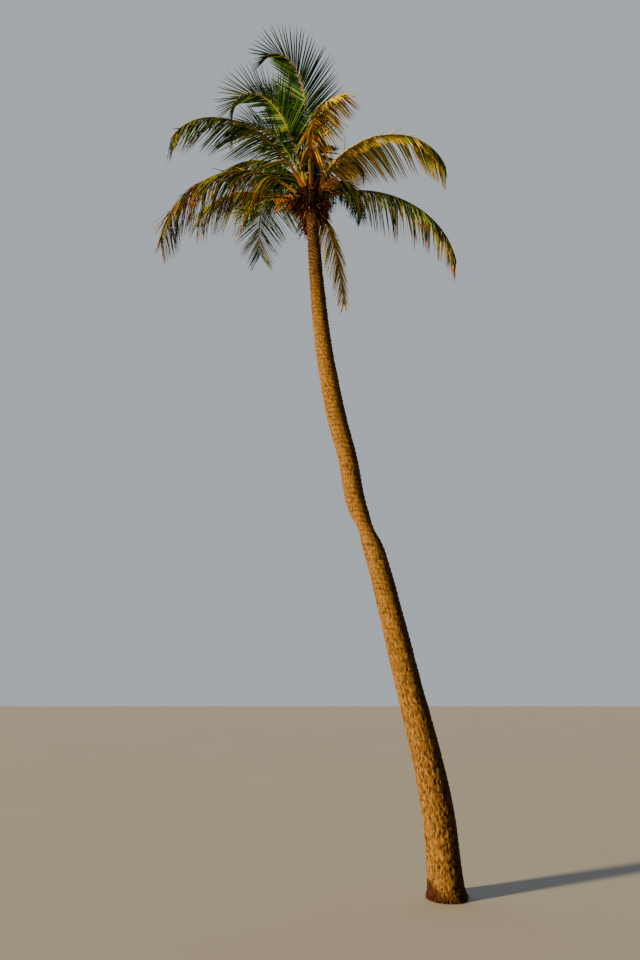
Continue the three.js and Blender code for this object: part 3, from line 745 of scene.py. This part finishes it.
def streaked_material(name, light, dark, roughness, scale=60.0, bump=0.3):
    """A fibrous finish: a light and a dark colour in upright streaks, with a fine relief."""
    material, nodes, shader = new_material(name)
    place = nodes.add("ShaderNodeTexCoord", output="Object")
    streaks = nodes.noise(place * (1.0, 1.0, 0.35), scale, 5.0)
    nodes.fill(shader, {
        "Base Color": nodes.blend(nodes.ramp(streaks, 0.38, 0.64), colour(dark), colour(light)),
        "Roughness": roughness,
        "Specular IOR Level": 0.12,
        "Normal": nodes.bump(streaks, bump, 0.003),
    })
    return material


def leaf_material(name, base):
    """A leaflet's finish: one plain colour, a dull leathery sheen and fine veins along the blade."""
    material, nodes, shader = new_material(name)
    along = nodes.add("ShaderNodeUVMap", uv_map="UVMap")
    inputs = {"Vector": along, "Scale": 4.0, "Distortion": 0.6}
    veins = nodes.add("ShaderNodeTexWave", inputs, "Fac", bands_direction="Y")
    nodes.fill(shader, {
        "Base Color": colour(base),
        "Roughness": 0.7,
        "Specular IOR Level": 0.1,
        "Normal": nodes.bump(veins, 0.12, 0.001),
    })
    return material


# Leaflets as strips

def make_strips(root, first, toward, weight, **fields):
    """Strips that leave their roots in one direction and bend toward another by a weight, as arrays."""
    hung = unit(first + toward * np.reshape(weight, (-1, 1)))
    fields = {"start": 0.0, "stop": 1.0, **fields, "root": root, "first": first, "hung": hung}
    return {name: np.array(np.broadcast_to(fields[name], (len(root), *np.shape(fields[name])[1:])), float)
            for name in STRIP_FIELDS}


def chosen(strips, mask):
    """The strips for which the mask is true."""
    return {name: values[mask] for name, values in strips.items()}


def joined(parts):
    """Several sets of strips as one."""
    return {name: np.concatenate([part[name] for part in parts]) for name in STRIP_FIELDS}


def grow_strips(name, strips, tree, material, **values):
    """A piece of strips from their arrays."""
    return grow(name, attribute_mesh(name, strips["root"], **strips), tree, material, **values)


def drifting(place, frond, random):
    """Smooth random offsets along a rib, which neighbouring leaflets share as a clump."""
    knots = np.linspace(0, 1, round(frond.length / CLUMP_LENGTH) + 1)
    return np.interp(place, knots, random.normal(0, 1, len(knots)))


def side_leaflets(frond, side, settings, random):
    """The strips of the leaflets on one side of a rib, with their places along it."""
    look = LOOKS[frond.look]
    ragged = look.ragged
    disorder = settings.disorder * ragged
    count = round(frond.length * (1 - frond.bare) / (settings.spacing * look.sparse))
    jitter = random.uniform(-LEAFLET_JITTER, LEAFLET_JITTER, count)
    place = np.clip((np.arange(count) + 0.5 + 0.2 * side + jitter) / count, 0, 1)
    share = frond.bare + (1 - frond.bare) * place
    points, along, across, upper = rib_frames(frond, share)

    # The direction a leaflet leaves the rib in: its angle to the rib, and how far its fold or stray lifts it
    open_angle = frond.open - (frond.open - LEAFLET_CLOSED) * place ** LEAFLET_ANGLE_POWER
    drift = CLUMP_TURN * ragged * drifting(place, frond, random)
    open_angle = np.radians(open_angle + drift + random.normal(0, disorder, count))[:, None]
    drift = CLUMP_TURN * ragged * drifting(place, frond, random)
    fringe = look.fringe * (side < 0) * np.interp(place, FRINGE_PLACES, (0, 1, 1, 0))
    stray = random.random(count) < STRAY_SHARE * ragged + fringe
    lift = np.where(stray, random.uniform(*STRAY_LIFT, count), 0)
    fold = np.radians(frond.fold + lift + drift + random.normal(0, 1.6 * disorder, count))[:, None]
    first = (along * np.cos(open_angle) + across * side * np.sin(open_angle) * np.cos(fold)
             + upper * np.sin(open_angle) * np.sin(fold))

    # Its limpness, length and width, and its root beside the rib
    limp = frond.limp * (1 - STIFFER_LATE * place)
    limp = limp * (1 + ragged * random.uniform(-0.2, 0.2, count))
    limp = limp * np.exp(CLUMP_LIMP * ragged * drifting(place, frond, random))
    limp = np.where(stray, STRAY_LIMP * limp, limp)
    length = leaflet_length(frond, place) * random.normal(1, 0.05, count)
    broken = random.random(count) < settings.broken
    length = np.where(broken, length * random.uniform(*BROKEN_LENGTH, count), length)
    length = np.where(stray, length * random.uniform(*STRAY_LENGTH, count), length)
    width = settings.width * look.wide * (1 - LEAFLET_NARROWS * place ** 2)
    width = width * random.uniform(*LEAFLET_WIDTHS, count)
    rib_width = np.interp(share, RIB_MARKS, RIB_WIDTH)[:, None] * frond.length / USUAL_LENGTH
    root = points + across * side * rib_width * 0.7 + upper * rib_width * 0.25
    strips = make_strips(
        root, first, -UP, limp, across=along * side, length=length, width=width,
        roll=side * 0.2 + random.normal(0, 0.2 * ragged, count),
        twist=random.normal(0, 0.5 * ragged, count))
    return strips, place


def frond_leaflets(frond, settings, random):
    """The strips of one frond's leaflets, with their places along the rib."""
    strips, places = zip(*(side_leaflets(frond, side, settings, random) for side in (1, -1)))
    return joined(strips), np.concatenate(places)


def deal_tints(frond, strips, places, random):
    """Sorts a frond's leaflets by colour, with their dry tips cut off as strips of their own."""
    look = LOOKS[frond.look]
    count = len(places)
    inner, outer = (random.choice(len(LEAF_TINTS), count, p=tint_shares(tints))
                    for tints in (look.tints, look.outer_tints))
    tint = np.where(random.random(count) < np.interp(places, OUTER_PLACES, (0, 1)), outer, inner)
    dry = random.random(count) < look.dry_tips * (0.7 + 0.6 * places)
    dry_length = look.dry_length * random.uniform(*DRY_SPREAD, count) * (0.7 + 0.7 * places)
    cut = np.where(dry, 1 - np.clip(dry_length, *DRY_LIMITS), 1.0)
    body = dict(strips, stop=cut)
    dealt = {name: chosen(body, tint == i) for i, name in enumerate(LEAF_TINTS)}
    tips = dict(strips, start=cut)
    russet = random.random(count) < RUSSET_SHARE
    dealt["orange"] = joined([dealt["orange"], chosen(tips, dry & ~russet)])
    dealt["russet"] = joined([dealt["russet"], chosen(tips, dry & russet)])
    return dealt


def tint_shares(tints):
    """The share of each leaf tint."""
    weights = np.array([tints.get(name, 0) for name in LEAF_TINTS], float)
    return weights / weights.sum()


# Lines for sweeps

def round_line(points, radii):
    """A round rod along points."""
    along = unit(np.gradient(points, axis=0))
    reference = np.where(np.abs(along[:, 2:]) > 0.9, np.array([[1.0, 0, 0]]), UP[None, :])
    side = unit(np.cross(along, reference))
    return points, side, np.cross(side, along), radii, radii, np.zeros(len(points))


def grow_lines(name, lines, tree, material, sides):
    """A piece swept along lines: each has its points, sides, uppers, half widths, heights and channel."""
    columns = [np.concatenate([line[i] for line in lines]) for i in range(len(LINE_FIELDS))]
    edges = []
    first = 0
    for line in lines:
        last = first + len(line[0]) - 1
        edges += [(i, i + 1) for i in range(first, last)]
        first = last + 1
    mesh = attribute_mesh(name, columns[0], edges, **dict(zip(LINE_FIELDS, columns)))
    piece = grow(name, mesh, tree, material, sides=sides)
    shell = bmesh.new()
    shell.from_mesh(piece.data)
    bmesh.ops.recalc_face_normals(shell, faces=shell.faces)
    shell.to_mesh(piece.data)
    shell.free()
    return piece


# Settings

def number(name, description, default, **kind):
    """A setting that is a plain number."""
    return FloatProperty(name=name, description=description, default=default, **kind)


def metres(name, description, default):
    """A setting that is a length."""
    return number(name, description, default, unit="LENGTH")


def degrees(name, description, default):
    """A setting that is an angle."""
    return number(name, description, math.radians(default), subtype="ANGLE")


def tint(name, description, default):
    """A setting that is a colour."""
    return FloatVectorProperty(
        name=name, description=description, subtype="COLOR", default=colour(default)[:3])


class StemSettings(bpy.types.PropertyGroup):
    """Sizes and colours of the stem."""

    sides: IntProperty(name="Sides", description="Facets round the stem", default=76, min=24)
    level_step: metres("Level step", "Height between the rings of facets", 0.0065)
    ring_low: metres("Low ring spacing", "Height between leaf scars at the foot", 0.042)
    ring_high: metres("High ring spacing", "Height between leaf scars at the crown", 0.070)
    ring_depth: metres("Ring depth", "Depth of a leaf scar", 0.007)
    fissure_depth: metres("Fissure depth", "Depth of the fissures of the old bark", 0.012)
    light_colour: tint("Light bark", "Colour of the dry ridges", "a87c38")
    # The dark bark colour also paints the shade in the grooves and on the side away from the key light
    dark_and_shade_colour: tint("Dark bark", "Colour in the grooves", "1c1008")


class FrondSettings(bpy.types.PropertyGroup):
    """Sizes of the leaflets."""

    spacing: metres("Spacing", "Distance between leaflets on one side of a rib", 0.019)
    width: metres("Width", "Width of the widest leaflet", 0.038)
    disorder: number("Disorder", "Spread of the leaflets' angles in degrees", 3.0, min=0)
    broken: number("Broken", "Share of broken leaflets", 0.05, subtype="FACTOR")


class BunchSettings(bpy.types.PropertyGroup):
    """Sizes of the dry flower bunches."""

    branchlet_radius: metres("Branchlet radius", "Radius of a dry branchlet", 0.0055)
    nut_radius: metres("Nut radius", "Radius of a small nut", 0.014)


class StageSettings(bpy.types.PropertyGroup):
    """The camera, the floor and the lights."""

    lens: number("Lens", "Focal length in millimetres", 24.0)
    eye_height: metres("Eye height", "Camera height", 1.70)
    eye_side: metres("Eye side", "Camera place to the side", -1.081)
    eye_back: metres("Eye back", "Camera distance", 6.281)
    pitch: degrees("Pitch", "How far the camera looks up", 18.0)
    key_strength: number("Key strength", "Strength of the warm key light", 8.0)
    key_softness: degrees("Key softness", "Angle of the key light", 5.0)
    fill_strength: number("Fill strength", "Strength of the even light", 0.09)
    backdrop_strength: number("Backdrop strength", "Strength of the light behind the palm", 0.6)


# Operators

class PalmOperator:
    """What the operators of the palm share."""

    bl_options = {"REGISTER", "UNDO"}


class PALM_OT_stem(PalmOperator, bpy.types.Operator):
    """Build the stem with its ring scars, fissures and swollen foot"""

    bl_idname = "palm.stem"
    bl_label = "Stem"

    def execute(self, context):
        settings = context.scene.palm_stem
        levels = np.linspace(0, TRUNK_HEIGHT, round(TRUNK_HEIGHT / settings.level_step) + 1)
        mesh = upright_mesh("palm_stem", levels, trunk_radius(levels), settings.sides, settings)
        depths = {"ring_depth": settings.ring_depth, "fissure_depth": settings.fissure_depth}
        piece = grow("palm_stem", mesh, relief_tree(), bark_material(settings), **depths)
        finish_piece(piece, "bark", "trunk")
        return {"FINISHED"}


def upright_mesh(name, levels, radii, sides, settings):
    """A closed form round the leaning axis, with the attributes that its relief and bark read."""
    around = np.linspace(0, 2 * np.pi, sides, endpoint=False)
    height, angle = np.meshgrid(levels, around, indexing="ij")
    radius = np.broadcast_to(radii[:, None], height.shape)
    stem = np.stack([radius * np.cos(angle), radius * np.sin(angle), height], axis=-1).reshape(-1, 3)
    points = np.repeat(trunk_middle(levels), sides, axis=0) + stem * (1, 1, 0)
    points = np.vstack([points, trunk_middle(levels[:1]), trunk_middle(levels[-1:])])
    stem = np.vstack([stem, [[0, 0, levels[0]], [0, 0, levels[-1]]]])
    height = stem[:, 2]
    rise = settings.ring_high - settings.ring_low
    spacing = settings.ring_low + rise * np.clip(height / TRUNK_HEIGHT, 0, 1)
    ring = np.log(spacing / settings.ring_low) / (rise / TRUNK_HEIGHT)
    turned = np.arctan2(stem[:, 1], stem[:, 0]) - 0.3 * np.sin(height * 1.7)
    ring = ring + np.interp(height, *RING_SLANTS) * np.cos(turned) / spacing
    return attribute_mesh(
        name, points, faces=tube_faces(len(levels), sides), stem=stem, ring=ring,
        ring_fade=np.interp(height, *RING_STRENGTHS), crack_fade=np.interp(height, *CRACK_STRENGTHS))


def tube_faces(levels, sides):
    """The outward faces of a tube of rings, with its ends closed by fans round the last two points."""
    faces = []
    for low in range(0, (levels - 1) * sides, sides):
        for i in range(sides):
            j = (i + 1) % sides
            faces.append((low + i, low + j, low + sides + j, low + sides + i))
    last = (levels - 1) * sides
    foot, top = last + sides, last + sides + 1
    for i in range(sides):
        j = (i + 1) % sides
        faces += [(foot, j, i), (top, last + i, last + j)]
    return faces


class PALM_OT_roots(PalmOperator, bpy.types.Operator):
    """Build the fringe of short roots at the foot of the stem"""

    bl_idname = "palm.roots"
    bl_label = "Roots"

    def execute(self, context):
        random = np.random.default_rng(SEEDS["roots"])
        material = streaked_material("palm_root", "6e3a1e", "3a1a0e", 0.9)
        lines = [root_line(i, random) for i in range(ROOTS)]
        piece = grow_lines("palm_roots", lines, sweep_tree(), material, 6)
        for vertex in piece.data.vertices:
            vertex.co.z = max(vertex.co.z, 0)
        finish_piece(piece, "bark")
        return {"FINISHED"}


def root_line(i, random):
    """The line of one short root, from the side of the stem down and out to the ground."""
    azimuth = i * GOLDEN_ANGLE + random.uniform(-12, 12)
    top, reach, thick = (random.uniform(*span) for span in (ROOT_TOP, ROOT_REACH, ROOT_RADIUS))
    share = np.linspace(0, 1, 5)[:, None]
    start = trunk_radius(np.array(top)) - ROOT_SUNK
    stop = trunk_radius(np.array(0.0)) + reach
    points = direction(azimuth, 0) * (start + (stop - start) * share ** 1.5)
    points = points + UP * (top + (thick * 0.8 - top) * share)
    return round_line(points, thick * (1 - 0.5 * share[:, 0]))


class PALM_OT_heart(PalmOperator, bpy.types.Operator):
    """Build the fibrous heart that carries the fronds, with its old leaf bases and loose fibres"""

    bl_idname = "palm.heart"
    bl_label = "Heart"

    def execute(self, context):
        random = np.random.default_rng(SEEDS["heart"])
        fibre = streaked_material("palm_fibre", "2a180b", "0c0603", 0.95, 90.0, 0.6)
        base_finish = streaked_material("palm_leaf_base", "4c2c10", "140a05", 0.9)
        husk = streaked_material("palm_husk", "5a3210", "140a04", 0.9, 40.0)
        lit_husk_finish = streaked_material("palm_lit_husk", "e89a1c", "7c400e", 0.85)
        rise = np.linspace(0, HEART_TOP - 0.02, HEART_LEVELS)
        radii = knot_value((*HEART_PROFILE, (HEART_TOP, 0.02)), rise, 1) * HEART_SHARE
        mesh = upright_mesh("palm_heart", TRUNK_HEIGHT + rise, radii, HEART_SIDES, context.scene.palm_stem)
        depths = {"ring_depth": 0.006, "fissure_depth": 0.02, "lump_height": 0.06, "root_swell": 0.0}
        finish_piece(grow("palm_heart", mesh, relief_tree(), fibre, **depths), "fibre", "crown_heart")
        bases = grow_lines("palm_leaf_bases", leaf_bases(random), sweep_tree(), base_finish, 10)
        finish_piece(bases, "fibre", "crown_heart")
        tree = blade_tree()
        shreds = husk_strips(random)
        # A share of the husk strips takes a bright orange finish as if caught by the key light: painted
        # highlights
        lit = random.random(len(shreds["length"])) < LIT_HUSKS
        for name, strips, finish in (("palm_husks", chosen(shreds, ~lit), husk),
                                     ("palm_lit_husks", chosen(shreds, lit), lit_husk_finish)):
            finish_piece(grow_strips(name, strips, tree, finish, segments=7), "fibre", "crown_heart")
        return {"FINISHED"}


def leaf_bases(random):
    """Lines for the broad stumps of fallen fronds round the heart."""
    lines = []
    share = np.linspace(0, 1, 6)
    for i in range(BASES):
        azimuth = i * GOLDEN_ANGLE
        start = seat_point(azimuth, BASE_SEAT + BASE_STEP * i) + UP * -0.02
        tilt, length = random.uniform(*BASE_TILT), random.uniform(*BASE_LENGTH)
        points = start + direction(azimuth, tilt + 15 * (1 - share)) * (share * length)[:, None]
        side = np.broadcast_to(np.cross(direction(azimuth, 0), UP), (6, 3))
        upper = np.cross(side, direction(azimuth, tilt))
        width = BASE_WIDTH * (1 - 0.45 * share) * random.uniform(0.8, 1.1)
        lines.append((points, side, upper, width, BASE_HEIGHT * (1 - 0.5 * share), np.full(6, 0.9)))
    return lines


def husk_strips(random):
    """Strips for the dried sheaths and fibres that hang round the heart and the top of the stem."""
    parts = []
    for husk in HUSKS:
        count = husk.count
        azimuth = husk.azimuth + husk.spread * random.uniform(-1, 1, count)
        seat = husk.seat + random.uniform(-0.1, 0.1, count)
        middle = trunk_middle(TRUNK_HEIGHT + HEART_MIDDLE + seat)
        root = middle + direction(azimuth, 0) * (heart_radius(seat) * HUSK_REACH)[:, None]
        first = direction(azimuth + random.normal(0, 30, count), husk.tilt + random.normal(0, 25, count))
        length = husk.length * random.uniform(0.35, 1.0, count)
        width = husk.width * random.choice(HUSK_WIDTHS, count, p=HUSK_WIDTH_SHARES)
        weight = random.uniform(0.3, 2.4, count)
        parts.append(make_strips(
            root, first, -UP, weight, across=np.cross(first, UP), length=length, width=width,
            roll=random.uniform(-3, 3, count), twist=random.normal(0, 3, count)))
    return joined(parts)


class PALM_OT_ribs(PalmOperator, bpy.types.Operator):
    """Build the stalks and ribs of the fronds"""

    bl_idname = "palm.ribs"
    bl_label = "Ribs"

    def execute(self, context):
        tree = sweep_tree()
        for tint_name, tints in RIB_TINTS.items():
            fronds = [frond for frond in FRONDS if LOOKS[frond.look].rib == tint_name]
            material = streaked_material(f"palm_rib_{tint_name}", *tints, 0.5, 40.0, 0.15)
            lines = [rib_line(frond) for frond in fronds]
            piece = grow_lines(f"palm_ribs_{tint_name}", lines, tree, material, 12)
            finish_piece(piece, "leaf", *(node for frond in fronds for node in frond_nodes(frond.name)))
        return {"FINISHED"}


def rib_line(frond):
    """The line of a frond's stalk and rib, broad and channelled where it clasps the heart."""
    shares = np.linspace(0, 1, 64) ** 1.2
    points, _, side, upper = rib_frames(frond, shares)
    scale = frond.length / USUAL_LENGTH
    clasp = CLASP_WIDTH * np.exp(-shares / CLASP_SHARE)
    half_width = np.interp(shares, RIB_MARKS, RIB_WIDTH) * scale + clasp
    half_height = np.interp(shares, RIB_MARKS, RIB_HEIGHT) * scale
    return points, side, upper, half_width, half_height, np.interp(shares, (0, 0.3, 0.6), (1.1, 0.7, 0.0))


class PALM_OT_leaflets(PalmOperator, bpy.types.Operator):
    """Build the leaflets of every frond, sorted into pieces by colour"""

    bl_idname = "palm.leaflets"
    bl_label = "Leaflets"

    def execute(self, context):
        random = np.random.default_rng(SEEDS["leaflets"])
        heaps = {tint_name: [] for tint_name in LEAF_TINTS}
        for frond in FRONDS:
            strips, places = frond_leaflets(frond, context.scene.palm_fronds, random)
            for tint_name, dealt in deal_tints(frond, strips, places, random).items():
                heaps[tint_name].append(dealt)
        tree = blade_tree()
        for tint_name, heap in heaps.items():
            material = leaf_material(f"palm_leaf_{tint_name}", LEAF_TINTS[tint_name])
            piece = grow_strips(f"palm_leaflets_{tint_name}", joined(heap), tree, material)
            finish_piece(piece, "leaf", *frond_nodes("frond_"))
        return {"FINISHED"}


class PALM_OT_spear(PalmOperator, bpy.types.Operator):
    """Build the folded spear leaf in the middle of the crown"""

    bl_idname = "palm.spear"
    bl_label = "Spear leaf"

    def execute(self, context):
        foot = trunk_middle(TRUNK_HEIGHT + HEART_TOP - SEAT_DEPTH)
        lean = direction(SPEAR_SIDE, 90 - SPEAR_TILT)
        share = np.linspace(0, 1, 24)
        radii = SPEAR_RADIUS * 0.75 * np.interp(share, (0, 0.4, 1), (0.8, 1, 0.12))
        rod = round_line(foot + lean * (share * SPEAR_LENGTH)[:, None], radii)
        material = leaf_material("palm_spear", "93983c")
        finish_piece(grow_lines("palm_spear", [rod], sweep_tree(), material, 14), "young_leaf", "spear_leaf")
        strips = spear_strips(foot, lean, np.random.default_rng(SEEDS["spear"]))
        blades = grow_strips("palm_spear_leaflets", strips, blade_tree(), material)
        finish_piece(blades, "young_leaf", "spear_leaf")
        return {"FINISHED"}


def spear_strips(foot, lean, random):
    """Strips for the leaflets that still lie against the spear leaf."""
    count = SPEAR_LEAFLETS
    height = random.uniform(*SPEAR_LEAFLET_PLACES, count)
    out = direction(np.arange(count) * GOLDEN_ANGLE, 0)
    root = foot + lean * (height * SPEAR_LENGTH)[:, None] + out * SPEAR_RADIUS * 0.6
    first = unit(lean + out * random.uniform(0.0, 0.05, count)[:, None])
    length = np.minimum(SPEAR_LEAFLET_LENGTH, (1 - height) * SPEAR_LENGTH) * random.uniform(0.75, 1.0, count)
    return make_strips(
        root, first, out, random.uniform(0.02, 0.1, count), across=np.cross(first, out), length=length,
        width=SPEAR_LEAFLET_WIDTH, roll=0.0, twist=random.normal(0, 0.3, count))


class PALM_OT_bunches(PalmOperator, bpy.types.Operator):
    """Build the dry flower bunches with their branchlets and small nuts"""

    bl_idname = "palm.bunches"
    bl_label = "Bunches"

    def execute(self, context):
        settings = context.scene.palm_bunches
        random = np.random.default_rng(SEEDS["bunches"])
        stalk_tree, ball_tree = sweep_tree(), nut_tree()
        for age, tints in BUNCH_TINTS.items():
            bunches = [bunch for bunch in BUNCHES if bunch.age == age]
            names = [bunch.name for bunch in bunches]
            finish = streaked_material(f"palm_stalk_{age}", *tints, 0.8)
            lines, points, sizes = [], [], []
            for bunch in bunches:
                stalk, branchlets = bunch_lines(bunch, settings, random)
                lines += [stalk, *branchlets]
                for branchlet in branchlets:
                    points += list(branchlet[0][random.integers(1, len(branchlet[0]) - 2, 2)])
                    sizes += list(settings.nut_radius * BUNCH_NUTS[age] * random.uniform(0.35, 1.0, 2))
            piece = grow_lines(f"palm_stalks_{age}", lines, stalk_tree, finish, 5)
            finish_piece(piece, "stalk", *names)
            turns = random.uniform(-1, 1, (len(points), 3))
            mesh = attribute_mesh(f"palm_nuts_{age}", points, size=sizes, turn=turns)
            finish_piece(grow(f"palm_nuts_{age}", mesh, ball_tree, finish), "stalk", *names)
        return {"FINISHED"}


def bunch_lines(bunch, settings, random):
    """The stalk and the branchlets of one bunch as lines."""
    share = np.linspace(0, 1, STALK_STEPS + 1)
    steps = direction(bunch.azimuth, bunch.tilt - bunch.droop * share) * bunch.length / STALK_STEPS
    path = steps_from(seat_point(bunch.azimuth, bunch.seat), steps[:-1])
    stalk = round_line(path, STALK_RADIUS * (1 - 0.5 * share))
    branchlets = []
    places = np.linspace(0, 1, BRANCHLET_STEPS + 1)[:, None]
    for i in range(bunch.branchlets):
        part = BRANCHLET_FIRST + (1 - BRANCHLET_FIRST) * i / (bunch.branchlets - 1)
        around = math.radians(GOLDEN_ANGLE * i)
        azimuth = bunch.azimuth + BRANCHLET_SPREAD * math.cos(around)
        tilt = bunch.tilt - bunch.droop * part + BRANCHLET_SPREAD * math.sin(around)
        length = BRANCHLET_LENGTH * random.uniform(0.6, 1.1)
        hang = random.uniform(0.1, 0.6) * length
        points = read_path(part, share, path) + direction(azimuth, tilt) * (places * length)
        points = points - UP * hang * places ** 2
        points[1:] += random.normal(0, KINK, (BRANCHLET_STEPS, 3))
        radii = settings.branchlet_radius * bunch.thick * (1 - 0.4 * places[:, 0])
        branchlets.append(round_line(points, radii * random.uniform(0.7, 1.3, len(radii))))
    return stalk, branchlets


class PALM_OT_stage(PalmOperator, bpy.types.Operator):
    """Set up the floor, the soft lights and the camera"""

    bl_idname = "palm.stage"
    bl_label = "Stage"

    def execute(self, context):
        settings = context.scene.palm_stage
        make_floor()
        make_key(settings)
        make_surround(settings)
        camera = bpy.data.objects.new("Camera", bpy.data.cameras.new("Camera"))
        camera.data.lens = settings.lens
        camera.data.sensor_width = SENSOR_WIDTH
        camera.location = (settings.eye_side, -settings.eye_back, settings.eye_height)
        camera.rotation_euler = (math.pi / 2 + settings.pitch, 0, 0)
        context.scene.collection.objects.link(camera)
        context.scene.camera = camera
        return {"FINISHED"}


def make_floor():
    """A wide pale floor with a barely uneven tone."""
    material, nodes, shader = new_material("floor")
    cloud = nodes.noise(nodes.add("ShaderNodeTexCoord", output="Object"), 0.6, 3.0)
    tone = nodes.blend(cloud, colour("c2bfba"), colour("ccc9c4"))
    nodes.fill(shader, {"Base Color": tone, "Roughness": 0.9})
    half = FLOOR_HALF
    corners = [(-half, -half, 0), (half, -half, 0), (half, half, 0), (-half, half, 0)]
    mesh = attribute_mesh("floor", corners, faces=[(0, 1, 2, 3)])
    mesh.materials.append(material)
    floor = bpy.data.objects.new("floor", mesh)
    bpy.context.scene.collection.objects.link(floor)


def make_key(settings):
    """A warm soft key light, low from the front left."""
    lamp = bpy.data.lights.new("key", "SUN")
    lamp.energy = settings.key_strength
    lamp.color = colour("ffe0a6")[:3]
    lamp.angle = settings.key_softness
    light = bpy.data.objects.new("key", lamp)
    light.rotation_euler = Vector(direction(KEY_SIDE, KEY_RISE)).to_track_quat("Z", "Y").to_euler()
    bpy.context.scene.collection.objects.link(light)


def make_surround(settings):
    """A pale surround that is lit behind the palm."""
    world = bpy.data.worlds.new("surround")
    world.use_nodes = True
    nodes = Nodes(world.node_tree)
    toward = nodes.add("ShaderNodeTexCoord", output="Generated")
    centre = tuple(direction(BACKDROP_SIDE, BACKDROP_RISE))
    inputs = {0: toward, 1: centre}
    facing = nodes.add("ShaderNodeVectorMath", inputs, "Value", operation="DOT_PRODUCT")
    strength = nodes.ramp(facing, 0.40, 0.72, settings.fill_strength, settings.backdrop_strength)
    nodes.fill(world.node_tree.nodes["Background"], {"Color": colour("dde6ee"), "Strength": strength})
    bpy.context.scene.world = world


# Panel and registration

class PALM_PT_panel(bpy.types.Panel):
    """Lists the palm's settings and operators"""

    bl_idname = "PALM_PT_panel"
    bl_label = "Coconut palm"
    bl_space_type = "VIEW_3D"
    bl_region_type = "UI"
    bl_category = "Palm"

    def draw(self, context):
        for name, operators in PANEL_ROWS:
            box = self.layout.box()
            group = getattr(context.scene, name)
            for field in group.bl_rna.properties:
                if not field.is_readonly and field.identifier != "name":
                    box.prop(group, field.identifier)
            for operator in operators:
                box.operator(operator.bl_idname)


PANEL_ROWS = (
    ("palm_stem", (PALM_OT_stem, PALM_OT_roots, PALM_OT_heart)),
    ("palm_fronds", (PALM_OT_ribs, PALM_OT_leaflets, PALM_OT_spear)),
    ("palm_bunches", (PALM_OT_bunches,)),
    ("palm_stage", (PALM_OT_stage,)),
)
SETTINGS = {
    "palm_stem": StemSettings,
    "palm_fronds": FrondSettings,
    "palm_bunches": BunchSettings,
    "palm_stage": StageSettings,
}
OPERATORS = tuple(operator for _, operators in PANEL_ROWS for operator in operators)


def register():
    """Registers the settings, the operators and the panel."""
    for name, group in SETTINGS.items():
        bpy.utils.register_class(group)
        setattr(bpy.types.Scene, name, PointerProperty(type=group))
    for operator in (*OPERATORS, PALM_PT_panel):
        bpy.utils.register_class(operator)


def unregister():
    """Removes what register added."""
    for operator in (PALM_PT_panel, *reversed(OPERATORS)):
        bpy.utils.unregister_class(operator)
    for name, group in SETTINGS.items():
        delattr(bpy.types.Scene, name)
        bpy.utils.unregister_class(group)


def main():
    """Builds the palm and its stage."""
    register()
    for operator in OPERATORS:
        group, name = operator.bl_idname.split(".")
        getattr(getattr(bpy.ops, group), name)()


if __name__ == "__main__":
    main()
